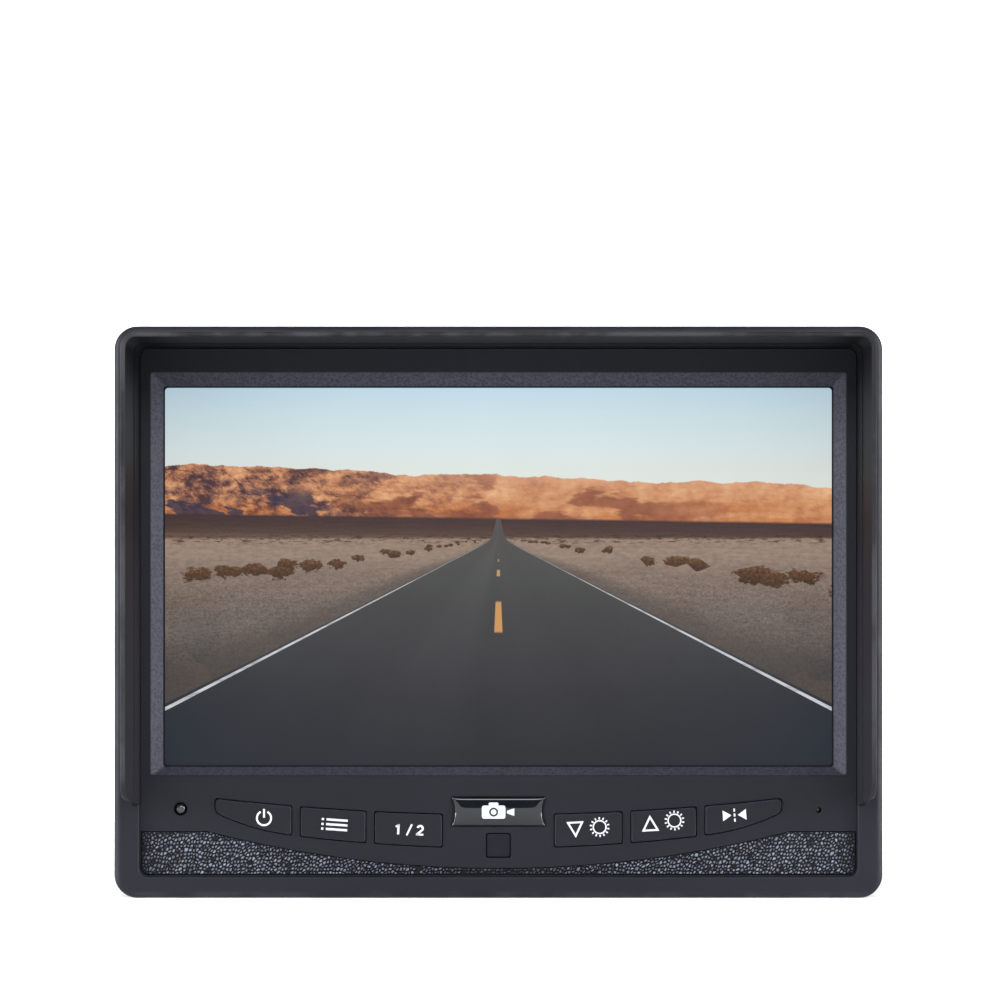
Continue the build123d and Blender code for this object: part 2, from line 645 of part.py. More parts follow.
def rear_cover():
    """The back moulding: tapered shell, screw wells, mounting pad, vents and grille."""
    body = cover_form(0.0)
    body = fillet(body.edges().group_by(Axis.Y)[-1], 2.0)
    pad = slab(at(0, MID_Z) * RectangleRounded(PAD_W, PAD_H, 5), REAR_Y - 0.5, PAD_Y)
    pad = fillet(pad.edges().group_by(Axis.Y)[-1], 0.6)
    body = body + pad - cover_form(WALL)

    # a fine shadow line where the two mouldings meet
    body -= slab(outline() - outline(0.5), PARTING_Y, PARTING_Y + 0.5)

    # screw wells: a column inside, a wide hole from the back and a narrow one to the front frame
    shell = cover_form(0.0)
    for x, z in COVER_SCREWS:
        body += (rod(x, z, 4.0, PARTING_Y, REAR_Y) & shell)
        body -= rod(x, z, 3.2, 2.0, PAD_Y)
        body -= rod(x, z, 1.6, PARTING_Y, 2.1)

    # locating ribs that reach into the front frame
    wall_x = HOUSING_W / 2 - WALL
    for s in (-1, 1):
        low, high = sorted((s * (wall_x - RIB_GAP - RIB_T), s * (wall_x - RIB_GAP)))
        body += block(low, high, PARTING_Y - 2.0, PARTING_Y, *RIB_Z)
        low, high = sorted((s * (wall_x - RIB_GAP - RIB_T), s * (wall_x + 0.2)))
        body += block(low, high, PARTING_Y, PARTING_Y + 2.5, *RIB_Z)

    # columns for the threaded inserts
    for x, z in mount_places():
        body += rod(x, z, 4.4, PAD_Y - INSERT_L - 1.5, REAR_Y - WALL + 0.1)
        body -= rod(x, z, INSERT_R, PAD_Y - INSERT_L, PAD_Y)

    # speaker posts, grille, vents and inlet hole
    for x, z in SPEAKER_SCREWS:
        body += rod(x, z, 1.6, SPEAKER_CLAMP_Y, REAR_Y - WALL + 0.1)
        body -= rod(x, z, 0.95, SPEAKER_CLAMP_Y, REAR_Y - 0.8)
    through = slab(Sketch(children=grille_holes()), REAR_Y - WALL - 0.5, REAR_Y + 1)
    body -= through
    body -= slab(Sketch(children=vent_slots()), REAR_Y - WALL - 0.5, REAR_Y + 1)
    body -= rod(INLET_X, INLET_Z, INLET_R + 0.2, REAR_Y - WALL - 0.5, REAR_Y + 1)
    return body


def mount_places():
    return [(x, MID_Z + z) for x in (-MOUNT_X / 2, MOUNT_X / 2) for z in (-MOUNT_Z / 2, MOUNT_Z / 2)]


def mount_inserts():
    """Knurl-free brass inserts for M4 screws, flush with the pad."""
    made = []
    for x, z in mount_places():
        sleeve = rod(x, z, INSERT_R - 0.02, PAD_Y - INSERT_L + 0.1, PAD_Y)
        made.append(sleeve - rod(x, z, MOUNT_HOLE_R, PAD_Y - INSERT_L, PAD_Y))
    return Compound(children=made)


# ---------------------------------------------------------------- inlet socket
def inlet_pin_places():
    """Thirteen contacts in rows of four, five and four."""
    rows = ((4, 1.9), (5, 0.0), (4, -1.9))
    places = []
    for count, dz in rows:
        places += [(INLET_X + (i - (count - 1) / 2) * 1.5, INLET_Z + dz) for i in range(count)]
    return places


def inlet_shell():
    shell = rod(INLET_X, INLET_Z, INLET_R, MAIN_BOARD_REAR_Y, REAR_Y + 0.9)
    shell = fillet(shell.edges().group_by(Axis.Y)[-1], 0.5)
    shell -= rod(INLET_X, INLET_Z, 5.0, 7.5, REAR_Y + 1)
    return shell - rod(INLET_X, INLET_Z, 4.4, MAIN_BOARD_REAR_Y, 8)


def inlet_insert():
    core = rod(INLET_X, INLET_Z, 4.38, MAIN_BOARD_REAR_Y, REAR_Y)
    core = chamfer(core.edges().group_by(Axis.Y)[-1], 0.3)
    core -= block(INLET_X - 0.9, INLET_X + 0.9, 8.5, REAR_Y, INLET_Z + 3.5, INLET_Z + 5)
    for x, z in inlet_pin_places():
        core -= rod(x, z, 0.45, 6.0, REAR_Y)
    return core


def inlet_pins():
    return Compound(children=[rod(x, z, 0.4, 6.1, REAR_Y - 1.0) for x, z in inlet_pin_places()])


# ---------------------------------------------------------------- assembly
def all_parts():
    parts = {
        "front_frame": front_frame(),
        "rear_cover": rear_cover(),
        "sun_hood": sun_hood(),
        "badge": badge(),
        "ir_window": ir_window(),
        "led_lens": led_lens(),
        "power_lamp": power_lamp(),
        "light_sensor": light_sensor(),
        "ir_receiver": ir_receiver(),
        "screen_gasket": screen_gasket(),
        "lcd_frame": lcd_frame(),
        "polarizer_film": polarizer(),
        "lcd_cell": lcd_layer(163.0, 24.0, 121.0, -7.5, -6.2),
        "diffuser_sheets": lcd_layer(162.0, 26.0, 120.5, -6.1, -5.5),
        "light_guide": lcd_layer(162.0, 26.2, 120.5, -5.4, -2.8),
        "backlight_lamps": backlight_lamps(),
        "lcd_tray": lcd_tray(),
        "lcd_flex": lcd_flex(),
        "lcd_flex_socket": lcd_flex_socket(),
        "chassis_plate": chassis_plate(),
        "chassis_screws": screws(CHASSIS_SCREWS, CHASSIS_Y[1], -7.0),
        "key_board": key_board(),
        "key_board_screws": screws(KEY_BOARD_SCREWS, KEY_BOARD_Y + BOARD_T, -8.0, 1.9, 1.3, 0.9),
        "key_board_header": key_board_header(),
        "key_ribbon": key_ribbon(),
        "tact_switches": tact_switches(),
        "main_board": main_board(),
        "main_board_chips": main_board_chips(),
        "main_board_screws": screws(MAIN_BOARD_SCREWS, MAIN_BOARD_REAR_Y, -0.5),
        "board_connectors": board_connectors(),
        "capacitors": capacitors(),
        "inductors": inductors(),
        "shield_can": shield_can(),
        "speaker_basket": speaker_basket(),
        "speaker_cone": speaker_cone(),
        "speaker_cap": speaker_cap(),
        "speaker_magnet": speaker_magnet(),
        "speaker_gasket": speaker_gasket(),
        "speaker_screws": screws(SPEAKER_SCREWS, SPEAKER_CLAMP_Y, 12.4, 2.5, 1.4, 0.9),
        "speaker_leads": speaker_leads(),
        "mount_inserts": mount_inserts(),
        "cover_screws": screws(COVER_SCREWS, 2.0, -7.4, 2.8, 2.0),
        "inlet_shell": inlet_shell(),
        "inlet_insert": inlet_insert(),
        "inlet_pins": inlet_pins(),
    }
    for name, (span, side) in KEYS.items():
        parts[name] = key_cap(span, side)
        parts[name.replace("key_", "plunger_")] = switch_plunger(span, side)
    return parts


def lifted(shape):
    """A part raised so that the monitor stands on Z = 0."""
    solids = [Pos(0, 0, LIFT) * solid for solid in shape.solids()]
    return solids[0] if len(solids) == 1 else Compound(children=solids)


os.makedirs("parts", exist_ok=True)
for node, shape in all_parts().items():
    export_step(lifted(shape), f"parts/{node}.step")
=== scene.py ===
import json
import math
import bmesh
import bpy
import numpy as np
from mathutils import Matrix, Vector


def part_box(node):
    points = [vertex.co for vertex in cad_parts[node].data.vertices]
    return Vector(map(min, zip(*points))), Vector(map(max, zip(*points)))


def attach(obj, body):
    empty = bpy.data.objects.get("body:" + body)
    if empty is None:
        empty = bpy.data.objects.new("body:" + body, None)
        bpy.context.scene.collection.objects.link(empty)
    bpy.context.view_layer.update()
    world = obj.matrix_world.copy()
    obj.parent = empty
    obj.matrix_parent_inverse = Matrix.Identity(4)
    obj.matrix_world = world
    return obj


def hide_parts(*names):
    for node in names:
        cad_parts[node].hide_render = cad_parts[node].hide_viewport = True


# Looks of a seven-inch rear-view monitor with a sun hood. Metres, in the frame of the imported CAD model:
# X along the screen, -Y towards the viewer, Z up, origin under the middle of the housing.
# Shapes and materials that are drawn here are worked out in millimetres and scaled by MM.

MM = 0.001

# ---------------------------------------------------------------- driving values
# in millimetres unless said
LIFT = 0.25  # the heights given below are counted from a line this far above the floor
PANEL_DEPTH = 1.5  # how far the panel lies behind the rim's front
SLOPE_DEPTH = 4.5  # how far behind it the slopes round the screen end
LENS_PLACE = (-73.1, 20.2)  # the status lamp's lens, along X and up Z
LENS_GAP_SHADE = (1.55, 1.13)  # outer and inner radius of the black ring of painted shade round it
LENS_GAP_SHADE_HEIGHT = 0.05
BLACK_EDGE = 0.3  # the screen's unlit edge
SKY_TOP = 34.8  # the sky's height over the point where the road's edges meet
ROAD_END = 4.3  # how far above that point the road goes on, over the rise in the plain
GRAIN_RELIEF = 0.42  # the tallest pebble of the grained field
GRAIN_PITCH = 0.80  # from one pebble to the next
GRAIN_SEED = 7
INK_HEIGHT = 0.03  # how far the signs stand proud of their keys
PAINTED_HIGHLIGHT_GAIN = 4.5  # how many times paler a dark plastic is painted where it carries a painted highlight

WORLD = 0.03  # brightness of the world where it lights things
FLOOR_GLOW = 0.10  # brightness that the floor adds near the object
BACKDROP_GLOW = 0.9  # and what it adds further off and behind
LAMPS = {  # place from the middle of the front and size, in metres, and watts
    "side": ((1.20, -0.40, 0.10), (0.5, 1.2), 45.0),
    "side_front": ((1.00, -0.80, 0.15), (0.6, 1.0), 2.7),
    "front": ((0.0, -1.30, 0.70), (1.6, 0.5), 22.0),
}
CAMERA_DISTANCE = 0.9  # metres from the rim's front
LENS = 141.05
SENSOR = 36.0
SHIFT = (0.0016, 0.112)  # in widths of the picture

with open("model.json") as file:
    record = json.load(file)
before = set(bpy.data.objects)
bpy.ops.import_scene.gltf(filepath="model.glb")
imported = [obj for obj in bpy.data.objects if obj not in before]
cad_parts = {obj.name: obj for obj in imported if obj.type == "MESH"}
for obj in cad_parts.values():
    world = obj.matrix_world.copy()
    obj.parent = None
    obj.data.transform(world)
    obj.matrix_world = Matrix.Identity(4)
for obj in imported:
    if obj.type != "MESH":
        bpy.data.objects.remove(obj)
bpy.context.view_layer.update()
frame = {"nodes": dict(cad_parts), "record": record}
NODES = frame["nodes"]


def box_mm(node):
    """A CAD node's box, in millimetres."""
    low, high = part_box(node)
    return low / MM, high / MM


# ---------------------------------------------------------------- colours and node trees
def tint(red, green, blue):
    """A colour given as 0 to 255 screen values, as the linear colour that nodes take."""
    parts = [v / 255 for v in (red, green, blue)]
    linear = [v / 12.92 if v <= 0.04045 else ((v + 0.055) / 1.055) ** 2.4 for v in parts]
    return (*linear, 1.0)


class Value:
    """A number that nodes work out, used in sums like any other number."""

    def __init__(self, nodes, socket):
        self.nodes = nodes
        self.socket = socket

    def __add__(self, other):
        return self.nodes.math("ADD", self, other)

    def __sub__(self, other):
        return self.nodes.math("SUBTRACT", self, other)

    def __rsub__(self, other):
        return self.nodes.math("SUBTRACT", other, self)

    def __mul__(self, other):
        return self.nodes.math("MULTIPLY", self, other)

    def __truediv__(self, other):
        return self.nodes.math("DIVIDE", self, other)

    def __rtruediv__(self, other):
        return self.nodes.math("DIVIDE", other, self)

    __radd__ = __add__
    __rmul__ = __mul__

    def abs(self):
        return self.nodes.math("ABSOLUTE", self, 0.0)

    def power(self, exponent):
        return self.nodes.math("POWER", self, exponent)

    def least(self, other):
        return self.nodes.math("MINIMUM", self, other)

    def most(self, other):
        return self.nodes.math("MAXIMUM", self, other)

    def rise(self, low, high):
        """0 below low, 1 above high, smooth between them; low may be the larger, for a fall."""
        kinds = {"interpolation_type": "SMOOTHSTEP"}
        values = {"Value": self, "From Min": low, "From Max": high}
        return self.nodes.value("ShaderNodeMapRange", values, **kinds)


class Nodes:
    """One material's node tree, with a short call for each kind of node used here."""

    def __init__(self, name):
        self.material = bpy.data.materials.new(name)
        self.material.use_nodes = True
        self.tree = self.material.node_tree
        self.tree.nodes.clear()
        self.place = self.add("ShaderNodeTexCoord").outputs["Object"]

    def add(self, kind, values=None, **settings):
        """A new node with those settings and socket values."""
        node = self.tree.nodes.new(kind)
        for key, value in settings.items():
            setattr(node, key, value)
        for key, value in (values or {}).items():
            self.put(node.inputs[key], value)
        return node

    def put(self, socket, value):
        """Links a value to a socket, or sets it there if it is a plain number or colour."""
        if isinstance(value, Value):
            value = value.socket
        if isinstance(value, bpy.types.NodeSocket):
            self.tree.links.new(value, socket)
        elif socket.type == "VECTOR":
            socket.default_value = value[:3]
        else:
            socket.default_value = value

    def value(self, kind, values, **settings):
        """A new node's first output, as a Value."""
        return Value(self, self.add(kind, values, **settings).outputs[0])

    def math(self, operation, a, b):
        return self.value("ShaderNodeMath", {0: a, 1: b}, operation=operation)

    def axes_mm(self):
        """X, Y and Z of the point that is shaded, in millimetres."""
        parts = self.add("ShaderNodeSeparateXYZ", {0: self.place})
        return [Value(self, parts.outputs[i]) * (1 / MM) for i in range(3)]

    def join(self, x, y, z):
        return self.add("ShaderNodeCombineXYZ", {0: x, 1: y, 2: z}).outputs[0]

    def noise(self, size_mm, detail=2.0, roughness=0.5, distortion=0.0):
        """Cloudy noise, about 0.5 on average, with blobs of that size."""
        values = {"Scale": 1 / (size_mm * MM), "Detail": detail, "Roughness": roughness}
        values.update({"Vector": self.place, "Distortion": distortion})
        return self.value("ShaderNodeTexNoise", values)

    def flat_noise(self, x, y, size, detail=2.0, roughness=0.5):
        """Noise over any two numbers, with blobs of that size in their units."""
        values = {"Scale": 1 / size, "Detail": detail, "Roughness": roughness}
        values["Vector"] = self.join(x, y, 0.0)
        return self.value("ShaderNodeTexNoise", values, noise_dimensions="2D")

    def cells(self, size_mm):
        """Distance to the nearest of many scattered points, about that far apart."""
        return self.value("ShaderNodeTexVoronoi", {"Vector": self.place, "Scale": 1 / (size_mm * MM)})

    def log(self, value):
        return self.math("LOGARITHM", value, math.e)

    def mix(self, factor, a, b):
        """Colour a where factor is 0 and colour b where it is 1."""
        node = self.add("ShaderNodeMix", data_type="RGBA")
        self.put(node.inputs[0], factor)
        self.put(node.inputs[6], a)
        self.put(node.inputs[7], b)
        return node.outputs[2]

    def shade(self, colour, value):
        """A colour made lighter or darker by a number about 1."""
        values = {0: colour, 1: self.join(value, value, value)}
        return self.add("ShaderNodeVectorMath", values, operation="MULTIPLY").outputs[0]

    def ramp(self, factor, stops):
        """A colour read along a list of (place, colour)."""
        node = self.add("ShaderNodeValToRGB", {0: factor})
        marks = node.color_ramp.elements
        while len(marks) < len(stops):
            marks.new(0.5)
        for mark, (place, colour) in zip(marks, stops):
            mark.position = place
            mark.color = colour
        return node.outputs[0]

    def bump(self, height, depth_mm):
        """The surface's direction where a height from 0 to 1 stands for that depth."""
        return self.add("ShaderNodeBump", {"Height": height, "Distance": depth_mm * MM}).outputs[0]

    def finish(self, **sockets):
        """Ends the tree in a Principled shader: socket names are written with _ for a space."""
        shader = self.add("ShaderNodeBsdfPrincipled")
        for key, value in sockets.items():
            self.put(shader.inputs[key.replace("_", " ")], value)
        self.add("ShaderNodeOutputMaterial", {0: shader.outputs[0]})
        return self.material


# ---------------------------------------------------------------- moulded plastics
def moulded(
    name, colour, roughness, grain_mm=0.22, depth_mm=0.012, mottle=0.16, specular=0.5, painted_highlight=None
):
    """Moulded plastic with a fine sparked texture, faint cloudiness and slightly uneven gloss.
    The last argument works out, from the nodes, how far a place is painted pale as a highlight, from 0 to
    1."""
    n = Nodes(name)
    cloud = n.noise(9.0, 3.0)
    fleck = n.noise(grain_mm * 1.6, 2.0)
    level = (1 - mottle / 2) + mottle * cloud + 0.10 * (fleck - 0.5)
    pits = n.cells(grain_mm) * 0.6 + n.noise(grain_mm, 3.0) * 0.8
    gloss = roughness + 0.12 * (n.noise(5.0) - 0.5) + 0.10 * (fleck - 0.5)
    base = n.shade(colour, level)
    # painted highlight: the colour is made paler where the mask says
    if painted_highlight:
        painted_pale = [min(1.0, PAINTED_HIGHLIGHT_GAIN * part) for part in colour[:3]]
        base = n.mix(painted_highlight(n), base, (*painted_pale, 1.0))
    return n.finish(
        Base_Color=base,
        Roughness=gloss,
        Normal=n.bump(pits, depth_mm),
        Specular_IOR_Level=specular,
    )


def painted_key_highlight(n):
    """The rounded edge round each key's cap, painted paler unevenly as a highlight."""
    _, y, _ = n.axes_mm()
    front = box_mm("key_menu")[0].y
    edge = y.rise(front + 0.02, front + 0.08) * y.rise(front + 0.34, front + 0.24)
    patches = n.noise(4.0, 3.0).rise(0.35, 0.6)
    return edge * (0.45 + 0.5 * patches)


def painted_rim_highlight(n, x, y, z):
    """The housing's outer front edge, painted paler unevenly as a highlight, least along its top, which
    is unlit.
    """
    low, high = box_mm("front_frame")
    inset = (high.x - x.abs()).least(z - low.z).least(high.z - z)
    edge = (inset + y - low.y).rise(1.9, 0.7)
    # painted: less highlight along the top edge, where no light falls
    painted_light_falloff = 1.0 - 0.45 * z.rise(high.z - 12.0, high.z - 2.0)
    patches = n.noise(14.0, 4.0, 0.6).rise(0.42, 0.62)
    return edge * painted_light_falloff * (0.25 + 0.75 * patches)


def housing_plastic(name):
    """Graphite plastic: finely sparked, with a painted highlight along the outer front edge and a
    leathery grain on the slopes round the screen, which are painted paler as sheen.
    """
    n = Nodes(name)
    x, y, z = n.axes_mm()
    low, high = box_mm("polarizer_film")
    front = box_mm("front_frame")[0].y
    starts, ends = front + PANEL_DEPTH, front + SLOPE_DEPTH
    near_screen = x.abs().rise(high.x + 4.5, high.x + 3.5)
    near_screen = near_screen * z.rise(low.z - 3.5, low.z - 2.5) * z.rise(high.z + 5.0, high.z + 4.2)
    slope = near_screen * y.rise(starts + 0.1, starts + 0.25) * y.rise(ends + 0.1, ends - 0.1)
    cloud = n.noise(9.0, 3.0)
    fleck = n.noise(0.35, 2.0)
    leather = n.noise(0.55, 3.0, 0.6) + n.cells(0.7) * 0.7
    level = 0.92 + 0.16 * cloud + 0.10 * (fleck - 0.5)
    pits = n.cells(0.22) * 0.6 + n.noise(0.22, 3.0) * 0.8
    height = pits + slope * leather * 3.0
    gloss = 0.52 + 0.12 * (n.noise(5.0) - 0.5) + 0.10 * (fleck - 0.5)
    # painted sheen: the slopes' paler colour; the leathery grain in their bump is real
    painted_pale = n.mix(leather.rise(0.35, 1.15), tint(30, 33, 42), tint(58, 58, 68))
    # painted highlight along the housing's outer front edge
    base = n.mix(painted_rim_highlight(n, x, y, z) * 0.7, n.shade(tint(21, 22, 29), level), tint(44, 45, 52))
    return n.finish(
        Base_Color=n.mix(slope, base, painted_pale),
        Roughness=gloss,
        Normal=n.bump(height, 0.012),
        Specular_IOR_Level=0.16,
    )


def hood_plastic(name):
    """Dull graphite plastic, with painted shade that darkens it towards its top and a painted highlight
    along the lip.
    """
    n = Nodes(name)
    _, y, z = n.axes_mm()
    low, high = box_mm("sun_hood")
    lip = low.y
    fleck = n.noise(0.45, 3.0)
    patches = n.noise(16.0, 5.0, 0.6).rise(0.42, 0.6)
    # painted highlight along the lip
    painted_highlight = y.rise(lip + 1.2, lip) * (0.25 + 0.75 * patches)
    # painted shade: darker towards the top, lighter towards the foot
    painted_shade_fade = z.rise(high.z - 8.0, low.z + 10.0)
    level = 0.34 + 1.05 * painted_shade_fade + 0.20 * n.noise(9.0, 3.0) + 0.12 * (fleck - 0.5)
    pits = n.cells(0.3) * 0.6 + n.noise(0.3, 3.0) * 0.8
    return n.finish(
        Base_Color=n.mix(painted_highlight, n.shade(tint(24, 23, 27), level), tint(46, 46, 50)),
        Roughness=0.6 + 0.12 * (fleck - 0.5),
        Normal=n.bump(pits, 0.012),
        Specular_IOR_Level=0.09,
    )


def key_plastic(name):
    """Graphite plastic, painted paler along the caps' rounded edges as a highlight."""
    return moulded(name, tint(20, 21, 28), 0.55, 0.16, 0.008, specular=0.16, painted_highlight=painted_key_highlight)


def badge_plastic(name):
    """Clear resin dome over a printed black label that carries a plain camera pictogram."""
    n = Nodes(name)
    x, _, z = n.axes_mm()
    low, high = box_mm("badge")
    x, z = x - (low.x + high.x) / 2, z - (low.z + high.z) / 2

    def oblong(cx, cz, half_w, half_h, corner):
        """1 inside a rounded oblong."""
        dx = ((x - cx).abs() - (half_w - corner)).most(0.0)
        dz = ((z - cz).abs() - (half_h - corner)).most(0.0)
        return (dx * dx + dz * dz).power(0.5).rise(corner + 0.05, corner - 0.05)

    def disc(cx, cz, radius):
        """1 inside a circle."""
        far = ((x - cx).power(2.0) + (z - cz).power(2.0)).power(0.5)
        return far.rise(radius + 0.05, radius - 0.05)

    body = oblong(-1.1, -0.1, 2.7, 1.5, 0.5).most(oblong(-1.1, 1.5, 1.1, 0.6, 0.3))
    lens = 1 - disc(-1.1, -0.1, 1.05) + disc(-1.1, -0.1, 0.62)
    flare = (x - 1.9) * 0.35 + 0.25  # half the hood's height, which grows away from the body
    horn = (x - 1.9).rise(0.0, 0.1) * (3.7 - x).rise(0.0, 0.1)
    horn = horn * ((z + 0.1).abs() - flare).rise(0.05, -0.05)
    sign = (body * lens).most(horn).least(1.0)
    ink = n.shade(tint(206, 207, 212), 0.96 + 0.08 * n.noise(0.4))
    black = n.shade(tint(8, 10, 14), 0.8 + 0.4 * n.noise(2.0))
    return n.finish(
        Base_Color=n.mix(sign, black, ink),
        Roughness=0.30 + 0.08 * (n.noise(3.0) - 0.5),
        Normal=n.bump(n.noise(4.0), 0.004),
        Specular_IOR_Level=0.1,
        Coat_Weight=1.0,
        Coat_IOR=1.45,
        Coat_Roughness=0.03,
        Coat_Tint=(0.82, 0.92, 1.0, 1.0),
    )


def filter_plastic(name):
    """Nearly black polished plastic that passes infra-red."""
    n = Nodes(name)
    return n.finish(
        Base_Color=n.shade(tint(17, 19, 26), 0.85 + 0.3 * n.noise(3.0)),
        Roughness=0.42 + 0.1 * (n.noise(1.0) - 0.5),
        Normal=n.bump(n.noise(2.5), 0.01),
        Specular_IOR_Level=0.15,
    )


def clear_plastic(name):
    """Smoky clear resin, as on an unlit lamp."""
    n = Nodes(name)
    return n.finish(
        Base_Color=n.shade(tint(48, 48, 52), 0.8 + 0.4 * n.noise(0.8)),
        Roughness=0.16 + 0.1 * (n.noise(0.7) - 0.5),
        Normal=n.bump(n.noise(0.9), 0.003),
        Transmission_Weight=0.15,
    )


# ---------------------------------------------------------------- the picture on the screen
def evening_sky(n, x, z, reach):
    """Clear sky, yellowish over the hills, bluer higher up and duller towards the upper corners."""
    height = (z / SKY_TOP).least(1.0)
    stops = [(0.42, tint(224, 230, 224)), (0.62, tint(216, 230, 233)), (0.8, tint(206, 227, 233))]
    sky = n.ramp(height, stops + [(1.0, tint(193, 220, 235))])
    dull = (x / reach).power(2.0) * (0.03 + 0.17 * height)
    return n.shade(sky, 1.01 - dull + 0.04 * (n.flat_noise(x, z, 24) - 0.5))


def far_hills(n, x, z):
    """Bare hills in low sunlight: broken rock on the left, smoother slopes on the right."""
    left = x.rise(15.0, -50.0)
    lit_side = n.flat_noise(x + 1.3, z * 1.7 - 0.9, 17, 5, 0.55)  # the folds, a step towards the sun
    fold = n.flat_noise(x, z * 1.7, 17, 5, 0.55) - lit_side
    rock = n.flat_noise(x + z * 0.5, z * 1.6, 3.0, 9, 0.82) - 0.5
    broad = n.flat_noise(x + 60, z * 2.6, 16, 4, 0.55) - 0.5
    gully = (n.flat_noise(x + z * 0.9 + 40, z * 1.3, 9, 7, 0.62) - 0.5).abs().rise(0.06, 0.0)
    light = 0.65 + fold * (1.4 + 1.8 * left) + rock * (0.6 + 1.0 * left) + broad * 0.4 - 0.20 * left
    light = light - gully * 0.22 * left
    stops = [(0.05, tint(72, 48, 54)), (0.30, tint(138, 90, 72)), (0.58, tint(202, 140, 98))]
    slope = n.ramp(light, stops + [(0.95, tint(234, 184, 138))])
    stops = [(0.1, tint(92, 54, 44)), (0.55, tint(178, 104, 58)), (0.9, tint(212, 138, 78))]
    foot = n.ramp(light, stops)
    drift = n.flat_noise(x * 0.4, z * 2.5 + 9, 9, 4).rise(0.35, 0.6)
    hill = n.mix(z.rise(10.5, 5.0) * (0.35 + 0.65 * drift), slope, foot)
    spur = n.flat_noise(x * 0.5, z * 1.5 + x * 0.04, 8, 6, 0.6) + z.rise(11.0, 5.5) * 0.12
    brown = n.shade(tint(138, 80, 58), 0.5 + 0.9 * light)
    hill = n.mix(spur.rise(0.55, 0.66) * (x - 2).abs().rise(60, 30) * 0.85, hill, brown)
    shadow = n.flat_noise(x + z * 1.1 + 17, z * 1.9, 13, 6, 0.6).rise(0.50, 0.54) * x.rise(-34.0, -44.0)
    violet = n.shade(tint(60, 54, 74), 0.75 + 0.8 * rock + 0.2 * light)
    hill = n.mix(shadow * z.rise(12.6, 9.0) * 0.9, hill, violet)
    haze = z.rise(10.0, 14.5) * (1 - left) * 0.4
    return n.mix(haze, hill, tint(222, 166, 136))


def dry_ground(n, x, z, across, depth):
    """Sand beside the road: streaked far off, gravelly near by, and duller towards the viewer."""
    stops = [(0.0, tint(150, 127, 110)), (0.13, tint(147, 128, 114)), (0.27, tint(130, 112, 100))]
    stops += [(0.5, tint(112, 101, 94)), (0.66, tint(103, 96, 92)), (0.8, tint(86, 82, 80))]
    sand = n.ramp(depth / 33.0, stops + [(1.0, tint(60, 60, 62))])
    streak = n.flat_noise(x * 0.09, z * 1.3, 1.1, 4, 0.6)
    patch = n.flat_noise(across * 0.5, n.log(depth) * 2.2, 0.7, 5, 0.65)
    gravel = n.flat_noise(x, z * 1.3, 0.62, 3, 0.75)
    sharp = depth.rise(3.0, 14.0)
    coarse = 1.5 * (gravel - 0.5) * sharp + 0.8 * (n.flat_noise(x, z * 2.0, 1.9, 4, 0.7) - 0.5)
    return n.shade(sand, 0.66 + 0.34 * streak + 0.36 * patch + coarse)


def shrubs(n, x, z, depth, picture):
    """Round ragged bushes, larger as they come nearer, in a belt on each side of the road.
    They are cells of a pattern over the logarithms of x and depth, so that they keep their shape."""
    wide, tall = 6.0, 1.5
    right = x.rise(-0.1, 0.1)  # 1 on the right of the road, 0 on the left
    u = n.log(x.abs().most(0.5)) * wide
    v = n.log(depth) * tall
    spots = {"Vector": n.join(u + right * 30, v, 0.0), "Scale": 1 / 0.74, "Randomness": 0.8}
    cell = n.add("ShaderNodeTexVoronoi", spots, voronoi_dimensions="2D")
    centre = n.add("ShaderNodeSeparateXYZ", {0: cell.outputs["Position"]})
    chance = n.value("ShaderNodeSeparateXYZ", {0: cell.outputs["Color"]})
    u0 = Value(n, centre.outputs[0]) - right * 30
    v0 = Value(n, centre.outputs[1])
    out = n.math("EXPONENT", u0 / wide - v0 / tall, 0.0)  # how far from the road, in depths
    belt = (out - 6.7 - right * 0.9).abs().rise(1.55, 1.50)
    stray = (out - 8.5).abs().rise(3.0, 2.9) * chance.rise(0.76, 0.77) * v0.rise(2.4, 2.5) * (1 - right)
    size = 0.60 + 0.50 * chance + 0.22 * right
    ragged = n.flat_noise(u, v, 0.2, 4, 0.65) - 0.5
    reach = (((u - u0) / 0.42).power(2.0) + ((v - v0) / 0.36).power(2.0)).power(0.5)
    inside = (size - reach + 1.5 * ragged) * belt.most(stray * 0.8) - 0.05
    inside = inside * v0.rise(4.15, 4.05)
    shade = 0.45 + 0.5 * (v - v0) + 1.1 * (n.flat_noise(x, z, 0.7, 4, 0.75) - 0.5)
    dry = n.ramp(shade, [(0.10, tint(132, 98, 66)), (0.38, tint(88, 58, 32)), (0.7, tint(52, 30, 14))])
    return n.mix(inside.rise(-0.04, 0.12) * 0.96 * z.rise(-0.2, -0.8), picture, dry)


